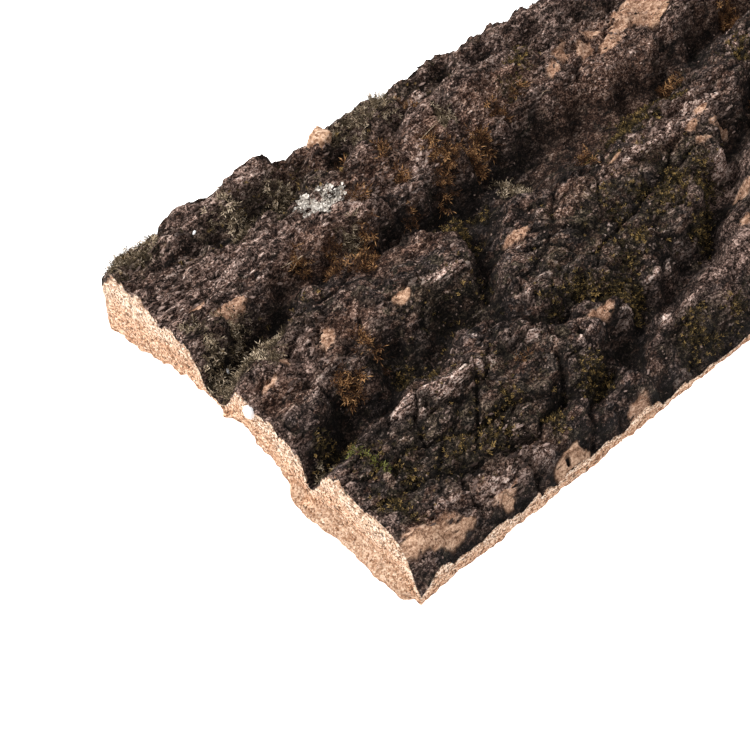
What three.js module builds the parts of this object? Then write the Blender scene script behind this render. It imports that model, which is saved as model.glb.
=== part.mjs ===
// Cork bark slab: one flat piece of virgin cork oak bark, sawn square on its four sides, lying on its belly.
// Millimetres, +Z up. X runs with the grain, Y across it. The origin is the bottom centre of the slab.
// The bark face is a relief: a crown that falls away at the edges, valleys between the long ridges,
// and cracks that split each ridge into domed plates.
import * as THREE from "three";

const { clamp, lerp, smoothstep } = THREE.MathUtils;

// Overall sizes
const LENGTH = 205;
const WIDTH = 100;
const LIP_REACH = 2.5; // the belly layer stands out past the sawn end by this much
const LIP_HEIGHT = 3.6;
const LIP_RANGE = [-49, -12.5]; // where the lip runs along the sawn end, in Y
const LIP_FADE = 3; // the lip tapers off over this length at both ends
const THINNEST = 1.6; // least cork left between bark face and belly

const END_X = -LENGTH / 2 + LIP_REACH; // plane of the sawn end that has the lip
const FAR_X = LENGTH / 2;
const SIDE_Y = WIDTH / 2;

// Grid of the bark face. The belly has half as many cells each way.
const CELLS_LONG = 86;
const CELLS_WIDE = 50;

// Crown: height of the ridge tops across the slab, from the front side (-Y) to the back side (+Y)
const CROWN = [
  [-50, 5.5], [-46.5, 11], [-42, 14.4], [-34, 15.4], [-22, 16.6], [-8, 17.8],
  [8, 18], [24, 18.8], [40, 20.4], [46, 20], [50, 17.6],
];
// The front side gets lower along the slab: height taken off the crown's front edge at each X
const FRONT_DROP = [[-100, -1], [-85, 0], [-47, 0], [-38, 2], [-24, 4], [-10, 4.5], [30, 2.5], [103, 1]];
const FRONT_DROP_WIDTH = 16;
// The back side is a row of knobs: height added to the crown's back edge at each X
const BACK_RISE = [
  [-100, 0], [-94, -1], [-86, -0.8], [-76, 0.5], [-66, 2], [-56, 3.2], [-53.5, 2.8], [-51, 0], [-36, -0.3],
  [-30, -1.2], [-24, -0.5], [-14, -1], [-9, -2.2], [-4, 0], [4, 1], [9, 0.3], [14, 1.8], [19, 1.4],
  [26, -0.8], [34, 0.8], [50, -0.6], [66, 0.8], [80, -0.8], [103, 0],
];
const BACK_RISE_WIDTH = 13;
const CROWN_WAVE = { height: 0.7, length: 74 };
// Corners of the bark face that are worn down: where, how far round, how deep
const WORN_CORNERS = [
  { x: -101, y: -51, radius: 7, depth: 9 },
  { x: -101, y: 52, radius: 10, depth: 7 },
  { x: 103, y: -51, radius: 9, depth: 4 },
  { x: 103, y: 51, radius: 8, depth: 5 },
];

// Corners that are worn round in plan
const ROUND_CORNERS = [
  { x: END_X, y: SIDE_Y, radius: 3 },
  { x: FAR_X, y: SIDE_Y, radius: 4 },
  { x: FAR_X, y: -SIDE_Y, radius: 3.5 },
];

// Valleys between the ridges. Each floor is a curve of [x, y, depth under the crown, far wall, near wall]:
// the walls' widths are those on the floor's +Y side and on its -Y side.
const VALLEYS = [
  // between the front ridge and the middle ridge
  [[-104, -19, 9.5, 3.4, 4.5], [-95, -18, 9.5, 5, 4.5], [-88, -17, 9.5, 9, 4.5], [-72, -14.5, 10, 10.5, 4.6],
    [-56, -12.5, 10, 9.5, 4.6], [-45, -11.5, 8, 7, 4]],
  // a ledge on the middle ridge's front wall, at the sawn end
  [[-104, -14, 3.6, 6, 5], [-95, -13, 3.4, 5, 4], [-86, -11, 1, 4, 4]],
  // round the blunt end of the middle ridge
  [[-47, -12, 8, 4, 3.5], [-40, -8, 8.5, 3.6, 4], [-34, -1, 8.5, 3.6, 4.5], [-29, 6, 9, 4, 6],
    [-23, 13, 10, 5, 8]],
  // between the middle ridge and the lichen ridge
  [[-104, 7.5, 9, 10, 6], [-92, 12.5, 9.5, 7, 5.5], [-81, 15, 9.5, 6, 5], [-70, 18, 7, 4.5, 4.5],
    [-58, 18.5, 6.5, 4.5, 4.5], [-48, 17, 8.5, 6, 5], [-36, 14.5, 10, 7.5, 6], [-22, 13.5, 10.5, 8.5, 11],
    [-5, 15, 10.5, 8.5, 15], [10, 14, 9.5, 8, 15], [22, 12.5, 9, 7, 13], [36, 12.5, 8.5, 7, 10],
    [52, 14, 9, 7, 8], [68, 17, 9, 7, 7], [86, 16, 8.5, 7, 7], [106, 13, 9, 7, 7]],
  // between the lichen ridge and the back ridge
  [[-104, 38, 1.5, 5, 3], [-90, 37.5, 3, 5, 3], [-78, 37.5, 5, 6, 3], [-66, 38, 7, 7, 3],
    [-56, 39.5, 7, 6, 3.5], [-47, 42, 6.5, 5, 5], [-36, 41, 4, 5, 5], [-20, 39.5, 3.5, 5, 4],
    [-5, 42, 4.5, 5, 4], [12, 43, 4, 4, 4], [30, 40, 4.5, 5, 4], [50, 37, 5.5, 6, 4], [75, 36, 6.5, 6, 4],
    [106, 38, 6.5, 6, 4]],
  // cuts the front ridge off from the far front ridge
  [[-58, -43, 1.5, 4, 3], [-50, -40.5, 3, 4, 3], [-41, -41, 5.5, 5, 4], [-30, -38.5, 8, 6, 5],
    [-20, -35.5, 8.5, 6.5, 5], [-8, -33.5, 8.5, 6, 5], [4, -31, 9, 6, 5], [15, -27, 9, 5.5, 5],
    [25, -21.5, 8.5, 6, 5], [36, -15, 8, 6, 6], [50, -9, 7.5, 6, 6], [66, -6, 7.5, 6, 6], [84, -8, 7.5, 6, 6],
    [106, -6, 8, 6, 6]],
  // short branch behind the front ridge's end
  [[-45, -10, 8, 4, 2.8], [-43.5, -17, 6.5, 4, 2.8], [-41, -22, 6, 4, 2.8], [-33, -24.5, 6, 4, 2.8],
    [-24, -25.5, 4.5, 4, 2.8], [-12, -27, 3, 4, 2.8], [2, -27.5, 2, 4, 2.8]],
  // far front valley
  [[16, -53, 7, 5, 4.5], [32, -43, 7, 5, 4.5], [50, -36.5, 7.5, 5, 4.5], [74, -34, 7.5, 5, 4.5],
    [106, -37, 7.5, 5, 4.5]],
];
const FLOOR_STEPS = 90; // points along each valley floor
const WALL_ROUNDING = 1.6; // over 1 makes the floor rounder and the ridge's shoulder sharper
// Valleys wander off their curves by this much
const WANDER = { across: 1.4, along: 1.3, fine: 0.8, lengths: [15, 13, 7.3] };
const END_FADE = 12; // nothing wanders or tilts at the sawn end, but does from this far in

// Plates: the ridges crack into plates, each the ground nearest to one centre, longer with the grain.
const PLATES = [
  [-97, -28], [-92, -25], [-84, -27], [-72, -27], [-57, -25.5], [-49, -24], [-97, -38], [-92, -33],
  [-83, -36.5], [-70, -38], [-64, -32.5], [-61.5, -39.5], [-52.5, -37], [-52, -30.5], [-96, -46],
  [-88, -44.5], [-78, -46.5], [-67, -47], [-57, -46.5], [-47, -45.5], [-35, -35], [-44, -34], [-36, -47.5],
  [-24, -46], [-13, -45],
  [-35, -11.5], [-33, -19.5], [-20, -21], [-21, -10], [-7, -21], [-6, -9], [8, -20], [10, -8.5],
  [-93, 3], [-80, 2], [-66, 4], [-53, 3], [-41, 2],
];
const PLATE_SPACING = [17, 11]; // grid of the plates that are drawn at random elsewhere
const PLATE_CLEAR = 9.5; // a random plate keeps this far from the others
const PLATE_JITTER = 0.34;
const PLATE_STRETCH = 0.78; // how much shorter a length with the grain counts
const PLATE_LIFT = 1.7; // plates differ in height by this much
const PLATE_TILT = 0.13; // and in slope by up to this much each way
const CRACK_DEPTH = 2.1;
const CRACK_BEVEL = 3.2; // a plate's edge is rounded over this width
const CRACK_WAVE = { height: 1.1, lengths: [13, 9] };

// Knots and pits too small for a plate of their own: [height, wavelength in X, wavelength in Y, phase]
const KNURLS = [[0.32, 11, 6.3, 0.4], [0.26, 7.3, 5.2, 2.1], [0.2, 5.9, 9.4, 4.0]];

// Belly: a shallow trough that runs with the grain, and a bite out of it under the sawn end
const TROUGH = { y: 14, halfWidth: 30, rise: 3.2 };
const BITE = { y: 12, halfWidth: 29, rise: 4.2, reach: 22 };
const BELLY_RIB = { height: 0.35, length: 8.5, lean: 0.06 };
const BELLY_SINK = 0.5; // the flattest part of the belly is worn to one plane

// Repeatable random number from 0 to 1 for a pair of whole numbers
function draw(i, j) {
  const s = Math.sin(i * 127.1 + j * 311.7) * 43758.5453;
  return s - Math.floor(s);
}

// Height on a line through [at, height] points, smooth between them
function profile(points, at) {
  const next = points.findIndex(([p]) => p > at);
  if (next === 0) return points[0][1];
  if (next < 0) return points.at(-1)[1];
  const [from, low] = points[next - 1];
  const [to, high] = points[next];
  return lerp(low, high, smoothstep(at, from, to));
}

function crown(x, y) {
  const wave = CROWN_WAVE.height * Math.sin((2 * Math.PI * (x + 0.6 * y)) / CROWN_WAVE.length);
  const front = 1 - smoothstep(y, -SIDE_Y, -SIDE_Y + FRONT_DROP_WIDTH);
  const back = smoothstep(y, SIDE_Y - BACK_RISE_WIDTH, SIDE_Y);
  let height = profile(CROWN, y) + wave - front * profile(FRONT_DROP, x) + back * profile(BACK_RISE, x);
  for (const corner of WORN_CORNERS) {
    const away = Math.hypot(x - corner.x, y - corner.y) / corner.radius;
    height -= corner.depth * (1 - smoothstep(away, 0, 1));
  }
  return height;
}

// Points along each valley floor, with its depth and its two walls' widths
const floors = VALLEYS.map((valley) => {
  const path = new THREE.CatmullRomCurve3(valley.map(([x, y, depth]) => new THREE.Vector3(x, y, depth)));
  const walls = new THREE.SplineCurve(valley.map(([, , , far, near]) => new THREE.Vector2(far, near)));
  return Array.from({ length: FLOOR_STEPS + 1 }, (_, i) => {
    const { x, y, z: depth } = path.getPoint(i / FLOOR_STEPS);
    const { x: far, y: near } = walls.getPoint(i / FLOOR_STEPS);
    return { x, y, depth, far, near };
  });
});

// Depth that the deepest valley cuts at a point
function valleyDepth(atX, atY) {
  const [longX, longY, short] = WANDER.lengths.map((length) => length / (2 * Math.PI));
  const free = smoothstep(atX - END_X, 0, END_FADE);
  const sway = WANDER.across * Math.sin(atX / longX - atY / 6);
  const shiver = WANDER.fine * Math.sin(atX / short + atY / 4);
  const x = atX + free * WANDER.along * Math.sin(atY / longY + atX / 5);
  const y = atY + free * (sway + shiver);
  let deepest = 0;
  for (const line of floors) {
    let nearest = { away: Infinity };
    for (let i = 0; i < line.length - 1; i++) {
      const a = line[i];
      const b = line[i + 1];
      const [ux, uy] = [b.x - a.x, b.y - a.y];
      const t = clamp(((x - a.x) * ux + (y - a.y) * uy) / (ux * ux + uy * uy), 0, 1);
      const [dx, dy] = [x - a.x - t * ux, y - a.y - t * uy];
      const away = Math.hypot(dx, dy);
      if (away < nearest.away) {
        const isFar = ux * dy - uy * dx > 0;
        nearest = { away, depth: lerp(a.depth, b.depth, t), width: isFar ? a.far : a.near };
      }
    }
    const wall = 1 - smoothstep(nearest.away, 0, nearest.width) ** WALL_ROUNDING;
    deepest = Math.max(deepest, nearest.depth * wall);
  }
  return deepest;
}

// Plate centres: those set by hand, and random ones where there is room
function plateCentres() {
  const centres = [...PLATES];
  const [stepX, stepY] = PLATE_SPACING;
  for (let i = 0; i * stepX < LENGTH + stepX; i++) {
    for (let j = 0; j * stepY < WIDTH + stepY; j++) {
      const shift = j % 2 ? stepX / 2 : 0;
      const x = -LENGTH / 2 + i * stepX + shift + (draw(i, j) - 0.5) * 2 * PLATE_JITTER * stepX;
      const y = -SIDE_Y + j * stepY + (draw(j + 57, i) - 0.5) * 2 * PLATE_JITTER * stepY;
      const isClear = centres.every(([cx, cy]) => Math.hypot((x - cx) * PLATE_STRETCH, y - cy) > PLATE_CLEAR);
      if (isClear) centres.push([x, y]);
    }
  }
  return centres;
}

const centres = plateCentres();

// Relief of the plates at a point: each has its own height, and its edges fall into the cracks
function plateRelief(x, y) {
  const [waveX, waveY] = CRACK_WAVE.lengths;
  const px = x + CRACK_WAVE.height * Math.sin((2 * Math.PI * y) / waveX + x / waveY);
  const py = y + CRACK_WAVE.height * Math.sin((2 * Math.PI * x) / waveX - y / waveY);
  const near = centres
    .map(([cx, cy], k) => {
      const away = Math.hypot((px - cx) * PLATE_STRETCH, py - cy);
      return { k, cx: cx * PLATE_STRETCH, cy, away };
    })
    .sort((a, b) => a.away - b.away);
  const [own, next] = near;
  const between = Math.hypot(own.cx - next.cx, own.cy - next.cy);
  const toCrack = (next.away ** 2 - own.away ** 2) / (2 * between);
  const inside = smoothstep(toCrack, 0, CRACK_BEVEL);
  const [centreX, centreY] = centres[own.k];
  const [lift, tiltX, tiltY] = [17, 29, 43].map((part) => draw(own.k, part) - 0.5);
  const steepest = 2 * PLATE_TILT * smoothstep(x - END_X, 0, END_FADE);
  const tilt = steepest * (tiltX * (px - centreX) + tiltY * (py - centreY));
  return inside * (PLATE_LIFT * lift + tilt) - CRACK_DEPTH * (1 - inside);
}

function knurls(x, y) {
  return KNURLS.reduce((sum, [height, longX, longY, phase]) => {
    const along = Math.sin((2 * Math.PI * x) / longX + phase);
    const across = Math.cos((2 * Math.PI * y) / longY + phase * 1.7);
    return sum + height * along * across;
  }, 0);
}

// Height of the belly over the table
function belly(x, y) {
  const trough = TROUGH.rise * (1 - smoothstep(Math.abs(y - TROUGH.y) / TROUGH.halfWidth, 0, 1));
  const nearEnd = 1 - smoothstep(x - END_X, 0, BITE.reach);
  const bite = BITE.rise * nearEnd * (1 - smoothstep(Math.abs(y - BITE.y) / BITE.halfWidth, 0.45, 1));
  const rib = BELLY_RIB.height * Math.sin((2 * Math.PI * (y + BELLY_RIB.lean * x)) / BELLY_RIB.length);
  return Math.max(0, trough + bite + rib - BELLY_SINK);
}

// Height of the bark face over the table
function barkFace(x, y) {
  const cut = valleyDepth(x, y);
  const top = crown(x, y) - cut + plateRelief(x, y) + knurls(x, y);
  return Math.max(top, belly(x, y) + THINNEST);
}

// Place of a grid point in plan: the square round each worn corner is squeezed to a quarter disc
function wornPlan(x, y) {
  for (const corner of ROUND_CORNERS) {
    const { radius } = corner;
    const centre = [corner.x - Math.sign(corner.x) * radius, corner.y - Math.sign(corner.y) * radius];
    const [dx, dy] = [x - centre[0], y - centre[1]];
    if (dx * corner.x > 0 && dy * corner.y > 0) {
      const squeeze = Math.max(Math.abs(dx), Math.abs(dy)) / Math.hypot(dx, dy);
      return [centre[0] + dx * squeeze, centre[1] + dy * squeeze];
    }
  }
  return [x, y];
}

function lipReach(y) {
  const [start, stop] = LIP_RANGE;
  return LIP_REACH * smoothstep(y, start, start + LIP_FADE) * (1 - smoothstep(y, stop - LIP_FADE, stop));
}

// Closed mesh: the bark face and the belly as grids, and walls between their edges
function slabGeometry() {
  const positions = [];
  const triangles = [];
  const addPoint = (x, y, z) => positions.push(x, y, z) / 3 - 1;
  const height = (i) => positions[3 * i + 2];
  const gridX = (i, cells) => lerp(END_X, FAR_X, i / cells);
  const gridY = (j, cells) => lerp(-SIDE_Y, SIDE_Y, j / cells);

  // A grid of points and its triangles, facing up or down. Each cell is split along its flatter diagonal.
  const addGrid = (long, wide, place, facesUp) => {
    const points = [];
    for (let i = 0; i <= long; i++) {
      points.push([]);
      for (let j = 0; j <= wide; j++) points[i].push(addPoint(...place(i, j)));
    }
    for (let i = 0; i < long; i++) {
      for (let j = 0; j < wide; j++) {
        const [a, b, c, d] = [points[i][j], points[i + 1][j], points[i + 1][j + 1], points[i][j + 1]];
        const splitAC = Math.abs(height(a) - height(c)) < Math.abs(height(b) - height(d));
        const pair = splitAC ? [[a, b, c], [a, c, d]] : [[a, b, d], [b, c, d]];
        for (const t of pair) triangles.push(...(facesUp ? t : t.reverse()));
      }
    }
    return points;
  };

  // The edge of a grid, once round anticlockwise seen from above
  const edgeOf = (points) => {
    const long = points.length - 1;
    const wide = points[0].length - 1;
    return [
      ...points.slice(0, long).map((row) => row[0]),
      ...points[long].slice(0, wide),
      ...points.slice(1).reverse().map((row) => row[wide]),
      ...points[0].slice(1).reverse(),
    ];
  };

  const top = addGrid(CELLS_LONG, CELLS_WIDE, (i, j) => {
    const [x, y] = [gridX(i, CELLS_LONG), gridY(j, CELLS_WIDE)];
    return [...wornPlan(x, y), barkFace(x, y)];
  }, true);
  const bottom = addGrid(CELLS_LONG / 2, CELLS_WIDE / 2, (i, j) => {
    const [x, y] = [gridX(i, CELLS_LONG / 2), gridY(j, CELLS_WIDE / 2)];
    const [placeX, placeY] = wornPlan(x, y);
    return [i === 0 ? placeX - lipReach(y) : placeX, placeY, belly(x, y)];
  }, false);

  const topEdge = edgeOf(top);
  const bottomEdge = edgeOf(bottom);
  const skinEdge = topEdge.map((p) => {
    const [x, y, z] = positions.slice(3 * p, 3 * p + 3);
    const low = belly(x, y);
    return addPoint(x, y, Math.min(low + LIP_HEIGHT, lerp(low, z, 0.5)));
  });

  // Walls: top edge to skin line, then skin line to the belly's edge, which has half as many points
  topEdge.forEach((p, k) => {
    const next = (k + 1) % topEdge.length;
    triangles.push(skinEdge[k], skinEdge[next], topEdge[next], skinEdge[k], topEdge[next], p);
  });
  bottomEdge.forEach((p, k) => {
    const after = bottomEdge[(k + 1) % bottomEdge.length];
    const [start, middle] = [skinEdge[2 * k], skinEdge[2 * k + 1]];
    const end = skinEdge[(2 * k + 2) % skinEdge.length];
    triangles.push(p, middle, start, p, after, middle, after, end, middle);
  });

  const geometry = new THREE.BufferGeometry();
  geometry.setAttribute("position", new THREE.Float32BufferAttribute(positions, 3));
  geometry.setIndex(triangles);
  geometry.computeVertexNormals();
  return geometry;
}

const barkBrown = new THREE.MeshStandardMaterial({ color: 0x3a2f2a, roughness: 0.95, metalness: 0 });

const slab = new THREE.Mesh(slabGeometry(), barkBrown);
slab.name = "cork_bark_slab";

const corkBark = new THREE.Group();
corkBark.add(slab);

export default corkBark;
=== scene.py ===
"""Cork bark slab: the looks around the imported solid.

The bark face is a fine relief over the solid: angular blocks, cracks, layers on the walls, streaks with
the grain, granules and chips. Moss, lichen, grit, chunks and fibres are set on that surface.
Lengths are in millimetres until a mesh is made.
"""
import math

import bpy
import numpy as np
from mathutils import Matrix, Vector
from mathutils.bvhtree import BVHTree


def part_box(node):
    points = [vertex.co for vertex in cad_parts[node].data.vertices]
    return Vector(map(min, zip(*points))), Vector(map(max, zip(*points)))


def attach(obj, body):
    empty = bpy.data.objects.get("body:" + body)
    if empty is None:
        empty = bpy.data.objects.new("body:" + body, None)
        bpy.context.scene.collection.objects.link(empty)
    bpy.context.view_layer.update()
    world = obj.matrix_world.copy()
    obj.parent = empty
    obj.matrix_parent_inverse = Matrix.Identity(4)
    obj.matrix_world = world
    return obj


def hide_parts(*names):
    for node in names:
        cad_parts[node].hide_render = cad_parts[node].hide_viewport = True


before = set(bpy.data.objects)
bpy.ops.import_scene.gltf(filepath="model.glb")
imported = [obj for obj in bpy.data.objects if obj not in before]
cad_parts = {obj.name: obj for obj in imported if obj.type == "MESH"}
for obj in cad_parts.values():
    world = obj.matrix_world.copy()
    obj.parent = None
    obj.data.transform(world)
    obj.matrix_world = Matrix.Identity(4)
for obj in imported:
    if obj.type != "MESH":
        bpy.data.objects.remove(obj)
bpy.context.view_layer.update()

MM = 0.001
NODE = "cork_bark_slab"

# The solid
LIP_REACH = 2.5
LIP_RANGE = (-49, -12.5)
LIP_FADE = 3.0
LIP_TOP = (2.2, 3.8)  # the lip's upper edge rounds off between these heights over the belly
low_corner, high_corner = (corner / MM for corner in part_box(NODE))
END_X = low_corner.x + LIP_REACH
FAR_X = high_corner.x
SIDE_Y = high_corner.y
ROUND_CORNERS = [(END_X, SIDE_Y, 3.0), (FAR_X, SIDE_Y, 4.0), (FAR_X, -SIDE_Y, 3.5)]  # x, y, radius in plan
SAMPLE_INSET = 0.997  # heights are read this much nearer to the middle, clear of the solid's edge
PROBE_ABOVE = 60.0
PROBE_BELOW = -30.0

# Meshes of the slab
GRID = 0.54
BELLY_GRID = 2.4
BELLY_INSET = 1.1
BELLY_PITS = (3.0, 3, 0.5)  # width, how much longer with the grain, depth
THINNEST = 0.9
JITTER = (0.7, 0.3)  # over what length points move sideways, and by what share of the grid
SHARP_ANGLE = 50
WALL_ROWS = (0.0, 0.03, 0.08, 0.15, 0.23, 0.32, 0.41, 0.5, 0.59, 0.68, 0.76, 0.84, 0.91, 0.96, 1.0)

# Bark relief
SAMPLE_WARP = (0.5, 3.2)  # how far heights are read from their own place, and over what length that changes
SAMPLE_BLUR = 0.55
RIDGE_REACH = 8.0
VALLEY_START = 1.2
VALLEY_DEPTH = 8.5
WALL_BLUR = 1.2
WALL_SLOPE = (0.45, 0.8)  # slope where a wall starts, and how much steeper a full one is
LAYERS = (1.7, 0.45)  # thickness of the layers on the walls, and how strongly they step
BLOCKS = [
    # width, how much longer with the grain, step, slope, crack half-width, crack depth
    (9.0, 1.6, 0.6, 0.05, 0.55, 1.2),
    (4.2, 1.6, 0.55, 0.1, 0.5, 0.9),
]
CHIPS = [
    # the same for the rubble and the streaked bark
    (4.6, 2.4, 1.5, 0.22, 0.5, 0.9),
    (2.3, 2.2, 0.8, 0.26, 0.45, 0.5),
]
BLOCK_SWAY = 0.22
RUBBLE = [
    # broken ground, where the blocks stand up more: x, y, half-length, half-width, turn
    (-86, 0, 17, 9, 0), (-28, 32, 26, 13, 0), (36, -3, 15, 8, 0), (30, 30, 22, 10, 0),
    (-74, -45, 16, 5, 0), (-48, 44, 14, 6, 0), (76, 26, 20, 14, 0), (72, -18, 20, 10, 0),
]
CRACKS = [
    # half-width, depth, points along the crack
    (0.8, 1.8, [(-89, -31.5), (-86, -29.2), (-81, -29.5), (-77, -30.8), (-73, -31.6), (-71, -33.3)]),
    (0.9, 2.0, [(-71, -33.3), (-66, -33.7), (-62, -34.1), (-59, -34.3), (-55, -37.5), (-51, -39.4)]),
    (0.7, 1.6, [(-73, -20.5), (-76, -23.6), (-78, -27.2), (-80, -29.5)]),
    (0.7, 1.7, [(-61, -24.4), (-62, -26.7), (-63.5, -28.7), (-65, -30), (-68, -33)]),
    (0.7, 1.7, [(-68, -33.2), (-72, -36.4), (-69.5, -39.3), (-69, -41.1)]),
    (1.2, 2.6, [(-44, -32.3), (-47, -35.8), (-48.5, -37.5), (-51, -39.8), (-57, -40.8)]),
    (1.0, 2.2, [(-69, -41.1), (-68, -43.3), (-67, -46.4), (-68, -48.5), (-67, -50)]),
    (0.7, 1.7, [(-62, -34.4), (-64, -37.2), (-66, -39.6), (-69, -41.1)]),
    (0.8, 1.9, [(-57, -40.8), (-60, -42.7), (-64, -42.3), (-67, -40.3)]),
    (0.8, 1.8, [(-49, -44.7), (-49, -46.9), (-51, -48.5)]),
    (0.9, 2.0, [(-79, -38.6), (-81, -41.4), (-81, -43.9), (-81, -46.5)]),
    (0.7, 1.6, [(-89, -34.1), (-86, -35.3), (-84, -38), (-79, -38.6), (-75, -39.9), (-69, -41.1)]),
    (0.9, 2.0, [(-35, -39.8), (-40, -41.9), (-47, -43.7), (-49, -44.7)]),
    (0.4, 1.0, [(-71, -20), (-66, -21.4), (-63.5, -22.4)]),
    (0.5, 1.3, [(-96, -26), (-90, -24), (-86, -28.5)]),
    (0.6, 1.5, [(-36, -28), (-37, -33), (-35, -39.8)]),
    (0.6, 1.5, [(-20, -18), (-5, -16), (13, -13), (27, -12)]),
    (0.5, 1.3, [(-31, -8), (-24, -9), (-20, -14), (-20, -18)]),
    (0.5, 1.3, [(-5, -16), (-4, -21), (0, -25)]),
    (0.5, 1.3, [(-12, -4), (-10, -9), (-5, -16)]),
    (0.5, 1.3, [(8, -3), (10, -8), (13, -13)]),
]
CRACK_WANDER = 0.9
SLIVERS = [
    # chips that stand up along a crest: half-width, height, points
    (1.7, 2.3, [(-82, -20.2), (-77.5, -20.6), (-73.2, -21.6), (-68.8, -22.8), (-62.2, -24.3)]),
    (1.3, 1.4, [(-60.4, -24.4), (-54.5, -25)]), (1.1, 1.3, [(-51.3, -24), (-42.2, -26.4)]),
    (1.0, 1.0, [(-55.8, 0.8), (-48.5, -1.4), (-40.8, -3.8)]),
    (1.4, 1.1, [(2, -3.6), (12, -5.4), (22, -7)]),
]
STREAKED_FROM = 13  # behind this y the bark is streaked with the grain
STREAKED_EDGE = (16, 4, 8)  # over what length that border sways, how far, and how wide it fades
STREAKS = [
    # width, length, height
    (3.8, 42, 0.75), (1.9, 26, 0.6), (1.1, 14, 0.3),
]
CRUMB = (6.5, 2.6, 1.7)  # a crumb that hangs off the sawn end's lower edge: y, half-length, reach
FRAY_START = (0.72, 0.28)  # share of the wall's height where the fraying starts, and what more makes it full
CRUMB_START = (0.45, 0.4)
LUMP = (2.4, 0.26)  # size, height
GRANULE = (1.2, 0.14)
ROUGH = (0.9, 0.07)
PIT = (2.4, 0.5, 0.6)  # spacing, radius, depth
CREST = (2.6, 0.1, 0.9)  # blur, height over it where a crest starts, and what more makes a full one
DIP = (1.4, 0.1, 0.9)

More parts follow.
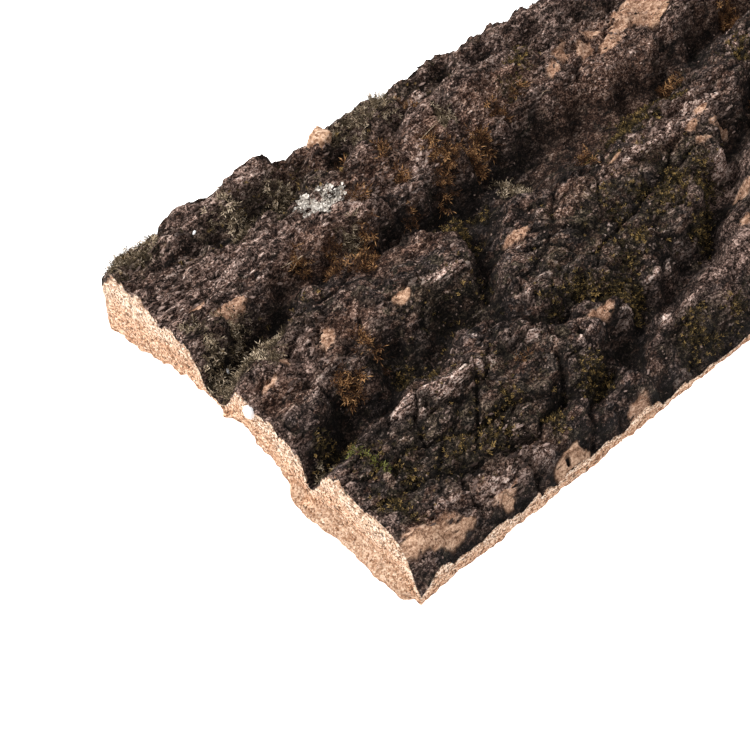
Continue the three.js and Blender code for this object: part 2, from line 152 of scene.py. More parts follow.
# Bare places: (x, y, half-length, half-width, turn in degrees from +X)
BARE = {
    "cream": [
        (-93.6, -46.2, 7.0, 1.9, -14), (-86.5, -47.4, 3.2, 1.1, 4), (-57.2, -49.6, 4.8, 2.2, 4),
        (-58.9, -1.0, 3.2, 1.7, 8), (55, 25.5, 5, 0.9, 12), (6.2, -2.9, 1.8, 0.9, 0),
        (-74.8, -48.4, 1.6, 1.0, 10),
    ],
    "tan": [
        (-92.8, -44.4, 6.6, 0.9, -14), (-74.6, -47.2, 3.4, 0.8, 0), (-37, -49.4, 3.2, 1.4, 0),
        (-28.8, -30.7, 3.2, 1.4, -8), (-77.4, 1.2, 2.6, 1.5, 20), (-94.3, -0.4, 2.6, 1.0, 10),
        (-87.5, 3.1, 1.5, 0.9, 10), (-86.5, 20.6, 4.2, 1.5, -6), (-92.6, 25, 1.8, 0.8, 10),
        (-85, 21.8, 1.8, 0.5, 0), (-27, -3.6, 2.6, 1.2, -15), (18.9, 27.8, 2.6, 1.6, 20),
        (24.5, 30.8, 3.2, 1.7, 10), (31, 28.8, 3.2, 1.6, 15), (36, 32, 2.8, 1.1, 0),
        (38, 26.8, 4.4, 1.6, 10), (15.5, -33.4, 2.4, 0.9, 20), (24.6, -25.6, 2.2, 1.2, 20),
        (74, -22, 3, 1.2, 10), (88, 3, 2.6, 1.1, -10), (34.5, -4.5, 2.4, 1.2, 10),
        (34.7, -8.8, 2.8, 1.3, 5), (28.5, -7, 2.4, 1.1, 10), (26.5, -11.8, 2.6, 1.2, 0),
        (37.5, -9.5, 1.8, 1.0, 0), (70, 26, 3.2, 1.2, 0), (62, -44, 2.8, 1, 10), (92, 43, 2.4, 1, 0),
        (54, 31, 11, 5, 15),
    ],
    "pink": [
        (-77, -20.9, 6, 1.9, -8), (-67, -23.3, 6, 2.1, -16), (-72, -24.4, 4.2, 1.0, 0),
        (-57.5, -24.7, 3.9, 1.5, -4), (-46.8, -25.2, 5.2, 1.1, -15), (-87, -43, 3.2, 1.2, -4),
        (-73.2, -45.5, 4.4, 1.8, -4), (-83, -46.3, 2.6, 1.2, 10), (-63.2, -45.6, 4.4, 2.0, 0),
        (-31.7, -16, 3.2, 0.9, 4), (-37.8, -17.5, 2, 0.8, -15), (-7.9, -29.2, 2.6, 0.9, -8),
        (-11.4, -29.7, 2.2, 0.9, 0), (2.3, -27.3, 3.6, 1.0, 0), (-37.4, -32.8, 2.6, 0.8, 0),
        (-24, -33.6, 3.2, 1.2, 10), (-12.6, -40, 2.2, 1.1, 10), (-19.5, -40.4, 2.6, 0.9, -15),
        (-22, -48.9, 3, 0.9, 0), (28, -17.8, 6, 1.4, 8), (34, -2.6, 10, 3.0, 10),
        (26, -4.6, 3, 1.2, -10), (12, -5.2, 8.5, 1.3, -8), (-1, -5, 3.4, 0.6, 0),
        (-46.6, 25.7, 3.4, 1.5, 10), (-88.7, -7.9, 2, 0.7, 10), (-78, 45.6, 3.4, 0.9, 0),
        (-61.5, 45.9, 6, 1.0, 0), (-26.3, 26.5, 2.6, 1.6, 10), (-11, 43, 2.4, 1.0, 0),
        (-23.7, 32.8, 1.6, 0.8, 0), (10, 39.8, 2.6, 0.8, 0), (-48.7, -1.8, 8.2, 1.1, -15),
        (61, 6.8, 6, 1.6, 0), (73, 13.6, 4, 1.8, 0), (84, 24, 6, 1.8, 5), (50, -28, 6, 1.4, -10),
    ],
    "red": [
        (-77.8, 0.9, 4.0, 3.0, 20), (24, 16, 26, 9, 10), (0, 30, 16, 6, 10), (60, -14, 16, 8, 0),
        (-61.5, -43.8, 5.5, 3.0, 5), (-66, -46, 3, 1.4, 0), (-75, -44.6, 5, 2.4, 0),
        (-86, -43.4, 4, 1.6, 0), (-91.5, -43.4, 6.5, 1.3, -14), (-93.5, -2.5, 6, 4, -10),
        (-62, 21.6, 14, 4, 0), (-38, 30, 10, 5, 0), (-20, 31, 9, 5, 0), (-47, 45.5, 7, 4, 0),
        (-72, 2, 6, 4, 0), (-46, 9, 14, 3, -10), (40, 30, 14, 7, 10), (36, -2, 12, 4, 10),
        (14, -6, 10, 3, -10), (78, 22, 16, 8, 0), (-8, -3, 8, 3, 0), (62, -36, 12, 5, 0),
    ],
    "pale": [
        (-80, 30, 22, 6, 0), (-95, 42, 6, 4, 0), (-78, 46, 14, 3.5, 0), (-88, 1, 9, 4, 8),
        (-61, 46.5, 9, 4, 0), (-52, 26, 10, 6, 0), (30, 28, 18, 7, 0), (28, -4, 14, 4, 0),
        (80, 28, 18, 7, 0), (70, -20, 18, 6, 0), (-98, -48, 3.4, 3, 0), (-22, 36, 20, 9, 0),
        (-76, -45.4, 9, 2.6, 0), (12, -38, 28, 8, 4), (24, -20, 14, 4, 8), (20, 40, 20, 6, 0),
        (-48, 44, 9, 4, 0), (-99.6, 0, 1.8, 46, 0),
    ],
}
BARE_LIFT = {"cream": 0.45, "tan": 0.25, "pink": 0.3}
BARE_RAGGED = {"cream": 0.38, "tan": 0.55, "pink": 0.65, "red": 0.6, "pale": 0.45}
BARE_SOFT = {"cream": 0.13, "tan": 0.1, "pink": 0.16, "red": 0.4, "pale": 0.5}
HOLES = [(-58.2, -48.8, 0.7, 1.8)]  # x, y, radius, depth

# Growth: (x, y, radius)
OLIVE_TUFTS = [
    (-68, -14.5, 5), (-92.4, -18, 4), (-92, -26, 4), (-33, 7.5, 5.5), (-22.6, 12, 3), (4, 2.7, 3),
    (2.6, -12.1, 4.5), (-3, -13, 3.5), (12.3, -18, 6.5), (20, -17, 4.5), (5, -18, 4), (24, 4, 7),
    (14, 2, 5), (34, 5, 5), (-13.5, -45.4, 5), (0, -46, 4), (-20, -28, 6), (-8, -22, 5), (-34, -21, 4),
    (-74, -34, 4), (-66, -37, 4), (-88, -33, 3.5), (-58, -31, 4), (-55, -42, 3), (14, 34, 4.5),
    (8, 29.5, 4), (-84, -36, 3), (-94, -38, 4), (-26, -22, 4), (-40, -40, 4), (10, -26, 5), (60, 2, 6),
    (82, -8, 6), (70, 36, 6), (95, 20, 5), (48, -44, 5),
]
RUST_TUFTS = [
    (-70.7, -4.5, 3.0), (-80, -7.9, 2.8), (-82.5, -9, 2.0), (-62, 14, 3.0), (-57, 13.2, 2.6),
    (-67, 22.8, 2.8), (-46, 26.6, 2.6), (-58, 21.5, 1.8), (-50, 20.9, 1.8), (-32, 27, 2.2),
    (-31, 33.5, 1.8), (-23, 28, 2.4), (-41.6, 34.8, 1.7), (-36.4, 19.6, 2.0), (-27, 20.5, 2.4),
    (-20, 23, 2.4), (-14.5, 21, 2.0), (-10, 23.6, 2.4), (-2.4, 24.8, 2.8), (5.7, 28, 2.2),
    (-51, -29, 1.2), (43, 9, 4), (3.6, 3.2, 2.2), (75, 18, 4), (58, -8, 3.5), (86, 40, 3.5),
    (-16, 42, 3),
]
GREY_TUFTS = [
    (-96, 8.5, 5.5), (-90, 8, 4.5), (-97.5, 13, 4), (-84, 9.5, 2.6), (-95, 18, 4), (-89, 17.6, 3),
    (-94, 45.4, 5), (-88, 47.4, 3.5), (-28, 46.6, 6), (-36, 46.8, 3.4), (-21, 45.6, 4.5), (-63, 40, 3.5),
    (-70, 40, 4.5), (-56, 41.4, 4), (-13, 31.6, 3), (-97, -20, 3), (-52, 20, 4), (-10, 12, 4),
]
LICHEN = (-53.0, 31.2, 6.6, 4.2)  # x, y, half-length, half-width
DARK_MOSS = [
    (-68, -32, 26, 11), (-5, -14, 26, 12), (-12, -45, 12, 4), (8, -14, 22, 10), (-60, 39, 22, 7),
    (-25, 44, 26, 6), (-92, 45, 10, 5), (-86, 12, 14, 6), (-54, -7, 18, 7),
]
GREEN_STRAND = [(-92.3, -22.1), (-90.6, -26.5), (-90.6, -30.6)]
CLUMPS = (3.0, 0.95)  # size of the clumps that a tuft grows in, and how strongly they show
TUFT_REACH = 1.5

# Loose things: chunks are (x, y, height over the bark, sizes, turn in degrees)
TAN_CHUNKS = [(-38.9, 46.6, -1.0, (5.3, 4.6, 5.6), 20)]
WHITE_CHUNKS = [
    (-100.2, -0.9, -2.6, (2.2, 2.7, 3.0), 0), (-93.8, 14, 0.2, (1.9, 0.6, 0.5), 60),
    (-79.2, 41.6, 0.2, (1.3, 0.7, 0.6), 30),
]
FIBRES = [
    # points along each fibre: x, y, height over the bark
    [(-71, 22.9, 0.2), (-68, 22.6, 0.9), (-65, 22, 0.2)],
    [(-69, 21.8, 0.1), (-67, 22.4, 0.8), (-64, 22.5, 0.1)],
    [(-97.5, 9.5, 0.3), (-95, 11, 1.2), (-93.5, 8, 0.2)],
    [(-96.8, 5.2, 0.2), (-94, 5.4, 0.9), (-90.5, 5.6, 0.3)],
    [(9, 22.8, 0.2), (11, 23.6, 1.0), (13.5, 21.7, 0.2)],
    [(-24, 29.6, 0.2), (-18.8, 30.6, 1.0), (-12.5, 32.2, 0.2)],
]
FIBRE_RADIUS = 0.09

# What is set on the bark
SPRIGS = {
    # height, leaves, leaf length, leaf width, how far the stem bends, seed
    "olive sprig": (0.8, 7, 0.5, 0.24, 0.25, 5),
    "rust sprig": (1.8, 14, 1.1, 0.12, 1.0, 7),
    "grey sprig": (1.3, 9, 0.7, 0.16, 0.5, 9),
}
SET_ON_BARK = [
    # piece, slot, finish, pattern, mask, pieces per square mm, sizes, lean, turn from the grain, seed
    ("bark_grit", "bark", "bark grit", "grit", "bark", 1.1, (0.25, 0.75), 40, 180, 1),
    ("bark_flakes", "bark", "bark flakes", "flake", "flaky", 0.6, (0.25, 0.95), 22, 30, 8),
    ("cork_crumbs", "sawn_cork", "cork crumbs", "grit", "frayed", 0.5, (0.3, 1.0), 60, 180, 2),
    ("olive_moss", "moss", "olive moss leaves", "olive sprig", "olive", 3.0, (0.5, 1.15), 50, 180, 3),
    ("grey_moss", "moss", "grey moss leaves", "grey sprig", "grey", 3.2, (0.5, 1.2), 60, 180, 7),
    ("green_moss", "moss", "green moss leaves", "olive sprig", "green", 3.0, (0.6, 1.3), 60, 180, 6),
    ("rust_moss", "rust_moss", "rust moss leaves", "rust sprig", "rust", 3.4, (0.4, 1.15), 65, 180, 4),
    ("lichen_patch", "lichen", "lichen", "lobe", "lichen", 4.2, (0.4, 1.0), 55, 180, 5),
]
CHUNKS = [
    # piece, slot, finish, where they lie, roundness
    ("cork_chunks", "broken_cork", "broken cork", TAN_CHUNKS, 0.45),
    ("white_crumbs", "lichen", "white crumbs", WHITE_CHUNKS, 0.9),
]

# Colours from dark to light: (place on the ramp, colour)
BARK_TONES = {
    "dark": [
        (0.2, (0.002, 0.0016, 0.0015)), (0.5, (0.022, 0.0168, 0.016)), (0.68, (0.046, 0.0347, 0.0328)),
        (0.86, (0.092, 0.07, 0.065)), (1.0, (0.24, 0.187, 0.172)),
    ],
    "brown": [
        (0.2, (0.004, 0.0023, 0.0018)), (0.5, (0.044, 0.0262, 0.0207)), (0.68, (0.095, 0.0565, 0.0445)),
        (0.86, (0.19, 0.116, 0.091)), (1.0, (0.42, 0.28, 0.222)),
    ],
    "pale": [
        (0.14, (0.008, 0.005, 0.004)), (0.38, (0.066, 0.0405, 0.033)), (0.52, (0.14, 0.088, 0.072)),
        (0.68, (0.27, 0.176, 0.146)), (0.84, (0.44, 0.3, 0.252)), (1.0, (0.66, 0.48, 0.41)),
    ],
    "pink": [
        (0.2, (0.07, 0.038, 0.029)), (0.42, (0.33, 0.205, 0.163)), (0.6, (0.66, 0.45, 0.375)),
        (0.85, (0.95, 0.77, 0.68)),
    ],
    "red": [
        (0.15, (0.012, 0.0052, 0.0035)), (0.42, (0.062, 0.0305, 0.0213)), (0.6, (0.14, 0.075, 0.053)),
        (0.8, (0.33, 0.2, 0.148)), (1.0, (0.6, 0.42, 0.33)),
    ],
    "green": [
        (0.2, (0.003, 0.0025, 0.0016)), (0.5, (0.024, 0.0187, 0.0122)), (0.68, (0.05, 0.0385, 0.0225)),
        (0.86, (0.095, 0.073, 0.042)), (1.0, (0.19, 0.147, 0.085)),
    ],
}
WOOD_TONES = {
    "tan": [(0.32, (0.1, 0.046, 0.027)), (0.5, (0.38, 0.212, 0.135)), (0.7, (0.76, 0.52, 0.38))],
    "cream": [(0.32, (0.14, 0.069, 0.042)), (0.48, (0.4, 0.232, 0.146)), (0.68, (0.74, 0.5, 0.352))],
}
# Colour of the painted shade in the gaps between the streaks.
GAP_SHADE_BLACK = (0.007, 0.0054, 0.0046)
# Colour of the painted shade in the hollows.
PAINTED_SHADE_BLACK = (0.004, 0.0032, 0.0028)
TORN_EDGE = (0.11, 0.06, 0.038)
SAWN_CREAM = [
    (0.1, (0.1, 0.05, 0.027)), (0.32, (0.41, 0.24, 0.15)), (0.54, (0.74, 0.505, 0.35)),
    (0.86, (0.94, 0.78, 0.64)),
]
SAWN_PEACH = [
    (0.1, (0.075, 0.03, 0.014)), (0.32, (0.33, 0.162, 0.09)), (0.55, (0.62, 0.342, 0.205)),
    (0.86, (0.88, 0.64, 0.46)),
]
BELLY_SKIN = [(0.3, (0.15, 0.068, 0.036)), (0.48, (0.42, 0.25, 0.158)), (0.68, (0.72, 0.545, 0.41))]
SAWN_LAYER = (0.38, 0.2, 0.115)
SAWN_DASH = (0.17, 0.085, 0.047)
SAWN_SPECK = (0.08, 0.045, 0.028)
SAWN_BARKY = (0.16, 0.095, 0.066)
TINTS = {
    # finishes of the many small pieces: roughness, how much lighter the tips are, colours
    "bark grit": (0.9, 0.0, [
        (0.0, (0.004, 0.003, 0.0025)), (0.55, (0.026, 0.0185, 0.0155)), (0.85, (0.07, 0.048, 0.04)),
        (1.0, (0.3, 0.212, 0.178)),
    ]),
    "bark flakes": (0.9, 0.0, [
        (0.0, (0.01, 0.0068, 0.0055)), (0.5, (0.045, 0.03, 0.025)), (0.8, (0.11, 0.076, 0.064)),
        (1.0, (0.36, 0.26, 0.225)),
    ]),
    "cork crumbs": (0.9, 0.0, [
        (0.0, (0.24, 0.13, 0.08)), (0.5, (0.58, 0.4, 0.29)), (1.0, (0.88, 0.7, 0.56)),
    ]),
    "olive moss leaves": (0.75, 0.65, [
        (0.0, (0.006, 0.005, 0.003)), (0.5, (0.03, 0.0225, 0.0105)), (0.8, (0.088, 0.06, 0.024)),
        (1.0, (0.3, 0.195, 0.07)),
    ]),
    "grey moss leaves": (0.8, 0.5, [
        (0.0, (0.018, 0.013, 0.008)), (0.5, (0.105, 0.078, 0.048)), (0.8, (0.32, 0.24, 0.155)),
        (1.0, (0.75, 0.61, 0.45)),
    ]),
    "green moss leaves": (0.7, 0.4, [
        (0.0, (0.05, 0.048, 0.012)), (0.6, (0.15, 0.15, 0.035)), (1.0, (0.34, 0.34, 0.12)),
    ]),
    "rust moss leaves": (0.75, 0.8, [
        (0.0, (0.008, 0.0045, 0.003)), (0.45, (0.045, 0.021, 0.0105)), (0.82, (0.17, 0.075, 0.032)),
        (1.0, (0.62, 0.34, 0.15)),
    ]),
    "lichen": (0.85, 0.0, [
        (0.0, (0.12, 0.105, 0.09)), (0.35, (0.58, 0.53, 0.475)), (1.0, (0.98, 0.93, 0.87)),
    ]),
}
MOTTLES = {
    # finishes of the single pieces: roughness, colours
    "broken cork": (0.9, [(0.2, (0.24, 0.13, 0.078)), (0.5, (0.5, 0.3, 0.19)), (0.8, (0.74, 0.51, 0.37))]),
    "white crumbs": (0.8, [(0.2, (0.75, 0.73, 0.73)), (0.6, (0.95, 0.94, 0.95))]),
    "fibres": (0.8, [(0.3, (0.2, 0.135, 0.085)), (0.7, (0.58, 0.45, 0.32))]),
}
CHIP_GRAINS = [(1.1, 1.8), (0.5, 1.5)]  # size, how much longer with the grain
CHIP_WARP = 1.3
SPECULAR = 0.12

# Camera, as it stood for the photograph
CAMERA_TARGET = (-66.9, -1.8, 0)
CAMERA_DISTANCE = 341.7
CAMERA_ELEVATION = 48.84
CAMERA_HEADING = 46.92  # from +X towards +Y
CAMERA_LENS = 76.8

# Stage
FLOOR_HALF = 3000
FLOOR_UNDER = 0.05
FLOOR_WHITE = 0.9
SKY_STRENGTH = 0.55
LIGHT_TARGET = (-50, 0, 0)
LIGHT_DISTANCE = 900
LIGHTS = [
    # name, elevation, heading, size in metres, power, colour
    ("window from the left", 50, 137, 0.35, 9.5, (1, 0.985, 0.96)),
    ("fill from the right", 50, 255, 0.9, 1.6, (1, 0.99, 0.98)),
]


# Numbers drawn at random, and shapes of noise

TABLE = 256


def random_table(seed):
    return np.random.default_rng(seed).random((TABLE, TABLE))


def ease(t):
    t = np.clip(t, 0, 1)
    return t * t * (3 - 2 * t)


def eased(value, start, length):
    """0 up to start, 1 from a length past it, eased between."""
    return ease((value - start) / length)


def waves(x, y, size, seed):
    """Smooth random heights from -1 to 1 with bumps about size across."""
    table = random_table(seed)
    u, v = x / size, y / size
    i, j = np.floor(u).astype(int), np.floor(v).astype(int)
    a, b = ease(u - i), ease(v - j)
    i, j = i % TABLE, j % TABLE
    i2, j2 = (i + 1) % TABLE, (j + 1) % TABLE
    near = table[i, j] * (1 - a) + table[i2, j] * a
    far = table[i, j2] * (1 - a) + table[i2, j2] * a
    return 2 * (near * (1 - b) + far * b) - 1


def rough_waves(x, y, size, seed, octaves=4):
    """Waves with finer waves on them."""
    total, share = 0, 1
    for k in range(octaves):
        total = total + share * waves(x, y, size / 2**k, seed=seed + k)
        share *= 0.5
    return total / 1.5


def cells(x, y, size, seed, stretch=1):
    """The cell of scattered centres that each point is in.

    Gives the distances to its centre and to the next one, its own number, and the way from its centre.
    """
    across, along, own = random_table(seed), random_table(seed + 1), random_table(seed + 2)
    u, v = x / (size * stretch), y / size
    i, j = np.floor(u).astype(int), np.floor(v).astype(int)
    nearest, following = np.full(x.shape, np.inf), np.full(x.shape, np.inf)
    number, way_u, way_v = np.zeros(x.shape), np.zeros(x.shape), np.zeros(x.shape)
    for di in (-1, 0, 1):
        for dj in (-1, 0, 1):
            ci, cj = (i + di) % TABLE, (j + dj) % TABLE
            du, dv = u - i - di - across[ci, cj], v - j - dj - along[ci, cj]
            away = np.hypot(du, dv)
            is_nearest = away < nearest
            following = np.where(is_nearest, nearest, np.minimum(following, away))
            number = np.where(is_nearest, own[ci, cj], number)
            way_u, way_v = np.where(is_nearest, du, way_u), np.where(is_nearest, dv, way_v)
            nearest = np.minimum(nearest, away)
    return nearest * size, following * size, number, way_u * size * stretch, way_v * size


def line_distance(x, y, points):
    """Distance to a line through points."""
    best = np.full(x.shape, np.inf)
    for (ax, ay), (bx, by) in zip(points, points[1:]):
        ux, uy = bx - ax, by - ay
        t = np.clip(((x - ax) * ux + (y - ay) * uy) / (ux * ux + uy * uy), 0, 1)
        best = np.minimum(best, np.hypot(x - ax - t * ux, y - ay - t * uy))
    return best


def oval_distance(x, y, oval):
    """Distance from an oval's centre, where 1 is its edge."""
    cx, cy, half_long, half_wide, turn = oval
    c, s = math.cos(math.radians(turn)), math.sin(math.radians(turn))
    along, across = (x - cx) * c + (y - cy) * s, (y - cy) * c - (x - cx) * s
    return np.hypot(along / half_long, across / half_wide)


def slide(grid, reach, join):
    """Joins each cell of a grid with those up to reach cells away, along both axes in turn."""
    for axis in (0, 1):
        size = grid.shape[axis]
        wide = np.pad(grid, [(reach, reach) if a == axis else (0, 0) for a in (0, 1)], mode="edge")
        grid = join([np.take(wide, range(k, k + size), axis) for k in range(2 * reach + 1)])
    return grid


def blur(grid, radius):
    """Gaussian blur; the radius is in millimetres."""
    radius = radius / GRID
    reach = max(1, math.ceil(2.5 * radius))
    weights = np.exp(-0.5 * (np.arange(-reach, reach + 1) / radius) ** 2)
    weights /= weights.sum()
    return slide(grid, reach, lambda parts: sum(w * p for w, p in zip(weights, parts)))


def highest(grid, reach):
    return slide(grid, round(reach / GRID), lambda parts: np.maximum.reduce(parts))


# The slab's surface

def worn_plan(x, y):
    """Moves the points of the square round each worn corner into a quarter disc."""
    for corner_x, corner_y, radius in ROUND_CORNERS:
        side_x, side_y = np.sign(corner_x), np.sign(corner_y)
        dx, dy = x - corner_x + side_x * radius, y - corner_y + side_y * radius
        is_corner = (dx * side_x > 0) & (dy * side_y > 0)
        to_disc = np.maximum(abs(dx), abs(dy)) / np.maximum(np.hypot(dx, dy), 1e-6)
        pull = np.where(is_corner, to_disc - 1, 0)
        x, y = x + dx * pull, y + dy * pull
    return x, y


def solid_tree():
    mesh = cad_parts[NODE].data
    return BVHTree.FromPolygons([v.co / MM for v in mesh.vertices], [list(p.vertices) for p in mesh.polygons])


def solid_heights(solid, x, y, from_above):
    """Height of the solid's bark face, or of its belly, at each point."""
    start, way = (PROBE_ABOVE, Vector((0, 0, -1))) if from_above else (PROBE_BELOW, Vector((0, 0, 1)))
    x, y = worn_plan(np.clip(x, END_X, FAR_X), np.clip(y, -SIDE_Y, SIDE_Y))
    spots = zip((x * SAMPLE_INSET).ravel(), (y * SAMPLE_INSET).ravel())
    return np.array([solid.ray_cast(Vector((px, py, start)), way)[0].z for px, py in spots]).reshape(x.shape)


def bare_masks(x, y):
    """How bare each point is, for each kind of bare place. The edges are torn with the grain."""
    ragged = 0.6 * rough_waves(x, y, 2.6, seed=71, octaves=3)
    ragged = ragged + 0.7 * rough_waves(x / 3.5, y, 1.1, seed=75, octaves=3)
    masks = {}
    for kind, ovals in BARE.items():
        soft = BARE_SOFT[kind]
        away = nearest_oval(x, y, ovals) + BARE_RAGGED[kind] * ragged
        masks[kind] = 1 - ease((away - 1 + soft) / (2 * soft))
    return masks


def growth_mask(x, y, tufts, seed):
    """How thickly a moss grows: full in the middle of a tuft, and clumpy."""
    away = np.minimum.reduce([np.hypot(x - tx, y - ty) / radius for tx, ty, radius in tufts])
    size, strength = CLUMPS
    clumps = rough_waves(x, y, size, seed=seed, octaves=3)
    return np.clip(1.0 - away + strength * clumps, 0, 1) * (away < TUFT_REACH)


def cracks(x, y):
    """Depth of the long cracks that are listed."""
    cut = np.zeros(x.shape)
    for half_width, depth, points in CRACKS:
        away = line_distance(x, y, points)
        cut = np.maximum(cut, depth * (1 - ease(away / half_width - 0.15)))
    return cut


def slivers(x, y):
    """Height of the chips along the crests."""
    raised = np.zeros(x.shape)
    for half_width, height, points in SLIVERS:
        raised = np.maximum(raised, height * (1 - ease(line_distance(x, y, points) / half_width - 0.2)))
    return raised


def blocks(x, y, sizes, first_seed):
    """Angular blocks of several sizes, each with its own height and slope, and the cracks between them."""
    relief, crack = np.zeros(x.shape), np.zeros(x.shape)
    for k, (size, stretch, step, slope, half_width, depth) in enumerate(sizes):
        seed = first_seed + 20 * k
        bent_x = x + BLOCK_SWAY * size * rough_waves(x, y, size, seed=seed + 5, octaves=3)
        bent_y = y + BLOCK_SWAY * size * rough_waves(x, y, size, seed=seed + 10, octaves=3)
        near, following, number, way_x, way_y = cells(bent_x, bent_y, size, seed, stretch)
        relief += step * (number - 0.5) + slope * (way_x * np.sin(40 * number) + way_y * np.cos(23 * number))
        opened = ease(0.6 + 1.2 * waves(x, y, 2.5 * size, seed=seed + 15))
        crack = np.maximum(crack, depth * opened * (1 - ease((following - near) / 2 / half_width)))
    return relief, crack


def nearest_oval(x, y, ovals):
    return np.minimum.reduce([oval_distance(x, y, oval) for oval in ovals])


def streaks(x, y):
    """Ridges that run with the grain."""
    total = np.zeros(x.shape)
    for k, (width, length, height) in enumerate(STREAKS):
        bent = y + 0.5 * width * rough_waves(x / 3, y, 3 * width, seed=51 + 10 * k, octaves=2)
        total += height * (1 - 2 * np.abs(waves(x * width / length, bent, width, seed=55 + 10 * k)))
    return total


def growth(x, y, cover):
    """Masks of all that grows on the bark, and of the dark film of moss between."""
    film = np.zeros(x.shape)
    for mx, my, half_long, half_wide in DARK_MOSS:
        film = np.maximum(film, 1 - ease(np.hypot((x - mx) / half_long, (y - my) / half_wide) - 0.4))
    film = np.clip(film * (0.8 + 1.1 * rough_waves(x, y, 6, seed=101)), 0, 1)
    olive = growth_mask(x, y, OLIVE_TUFTS, seed=111) * cover
    grey = growth_mask(x, y, GREY_TUFTS, seed=151) * cover
    strand = line_distance(x, y, GREEN_STRAND) / 0.9 + 0.5 * rough_waves(x, y, 1.6, seed=141, octaves=2)
    lichen_away = oval_distance(x, y, (*LICHEN, 0)) + 0.4 * rough_waves(x, y, 3.2, seed=131, octaves=3)
    return {
        "film": np.maximum(film * 0.8, np.maximum(olive, grey)),
        "olive": olive + 0.07 * film,
        "rust": growth_mask(x, y, RUST_TUFTS, seed=121) * cover,
        "grey": grey,
        "green": 1 - ease(strand),
        "lichen": ((lichen_away < 0.9) & (rough_waves(x, y, 1.8, seed=161, octaves=2) > -0.25)).astype(float),
    }


def bark_surface(x, y, base):
    """Heights of the bark face, and the masks that its finish and its growth read."""
    soft = blur(base, SAMPLE_BLUR)
    tops = blur(highest(soft, RIDGE_REACH), 0.5 * RIDGE_REACH)
    sunk = eased(tops - soft, VALLEY_START, VALLEY_DEPTH)
    slope = np.hypot(*np.gradient(blur(base, WALL_BLUR), GRID))
    wall = eased(slope, *WALL_SLOPE)
    masks = bare_masks(x, y)
    cover = 1 - np.clip(masks["cream"] + 0.7 * masks["tan"], 0, 1)
    rubble = 1 - ease(nearest_oval(x, y, RUBBLE) + 0.4 * rough_waves(x, y, 8, seed=31, octaves=2) - 0.5)
    length, sway, fade = STREAKED_EDGE
    behind = ease((y - STREAKED_FROM - sway * waves(x, y, length, seed=41)) / fade)
    streaked = np.maximum(behind, 0.6 * rubble)

    period, strength = LAYERS
    phase = 2 * math.pi * (soft / period + 0.6 * rough_waves(x, y, 9, seed=441, octaves=2))
    layered = soft - wall * strength * period / (2 * math.pi) * np.sin(phase)

    wander_x = x + CRACK_WANDER * rough_waves(x, y, 4.5, seed=11, octaves=3)
    wander_y = y + CRACK_WANDER * rough_waves(x, y, 4.5, seed=21, octaves=3)
    plate, plate_crack = blocks(x, y, BLOCKS, 400)
    chip, chip_crack = blocks(x, y, CHIPS, 700)
    chipped = np.maximum(rubble, 0.6 * streaked)
    opened = np.maximum(plate_crack * (1 - 0.6 * streaked), chip_crack * chipped) * (1 - 0.5 * sunk)
    crack = np.maximum(cracks(wander_x, wander_y), opened) * cover
    streak = streaks(x, wander_y) * np.maximum(streaked, masks["pink"])
    form = layered + (plate + chip * chipped + streak) * (1 - 0.5 * sunk) * (0.3 + 0.7 * cover) - crack
    form = form + slivers(wander_x, wander_y)

    lump = LUMP[1] * rough_waves(wander_x, wander_y, LUMP[0], seed=61, octaves=3)
    grain_near, _, grain_size, _, _ = cells(x, y, GRANULE[0], seed=81)
    granule = GRANULE[1] * (0.35 + grain_size) * (1 - ease(grain_near / (0.75 * GRANULE[0])))
    spacing, radius, depth = PIT
    pit_near, _, pit_number, _, _ = cells(x, y, spacing, seed=501)
    pit = depth * (pit_number > 0.6) * (1 - ease(pit_near / radius - 0.2)) * cover
    rough = ROUGH[1] * waves(x, y, ROUGH[0], seed=91)
    height = form + (lump + granule) * (0.3 + 0.7 * cover) + rough - pit
    for kind, lift in BARE_LIFT.items():
        height = height + lift * masks[kind]
    for hx, hy, radius, depth in HOLES:
        height = height - depth * (1 - ease(np.hypot(x - hx, y - hy) / radius - 0.3))

    # Crests: the colour is paler here, partly wear and partly a painted highlight. Grit is also set thickest
    # here.
    crest_blur, *crest_range = CREST
    crest = eased(form - blur(form, crest_blur), *crest_range)
    dip_blur, *dip_range = DIP
    dip = eased(blur(form, dip_blur) - form, *dip_range)
    # Painted shade: the colour is darkened in the valleys, on the walls, in the cracks and dips, and fully in
    # the holes.
    painted_hollow_shade = np.clip(0.75 * sunk + 0.15 * wall + crack / 1.2 + 0.5 * dip, 0, 1)
    painted_hollow_shade = painted_hollow_shade * (0.25 + 0.75 * cover) * (1 - 0.5 * masks["pale"])
    for hx, hy, radius, _ in HOLES:
        painted_hollow_shade = np.maximum(painted_hollow_shade, 1.3 * (np.hypot(x - hx, y - hy) < 0.9 * radius))
    flaked = ease(0.5 + 1.2 * rough_waves(x, y, 5, seed=171, octaves=2))
    return height, {
        **masks,
        **growth(x, y, cover),
        "painted_hollow_shade": painted_hollow_shade,
        "crest": crest * (1 - sunk),
        "pink": masks["pink"] * (1 - 0.8 * np.clip(crack, 0, 1)),
        # the tops of the raised streaks, where the colour is paler: partly their own colour, partly a painted
        # highlight
        "streak": streaked * ease((streak + 0.3) / 1.2) * (1 - sunk),
        "grain": streaked * (1 - 0.7 * sunk),
        "flaky": (0.12 + 0.88 * chipped) * (1 - sunk) * cover * flaked,
        "bark": cover * (0.4 + 0.6 * crest),
    }


def edge_loop(grid):
    """The edge of a grid of point numbers, once round anticlockwise seen from above."""
    return np.concatenate([grid[:-1, 0], grid[-1, :-1], grid[:0:-1, -1], grid[0, :0:-1]])


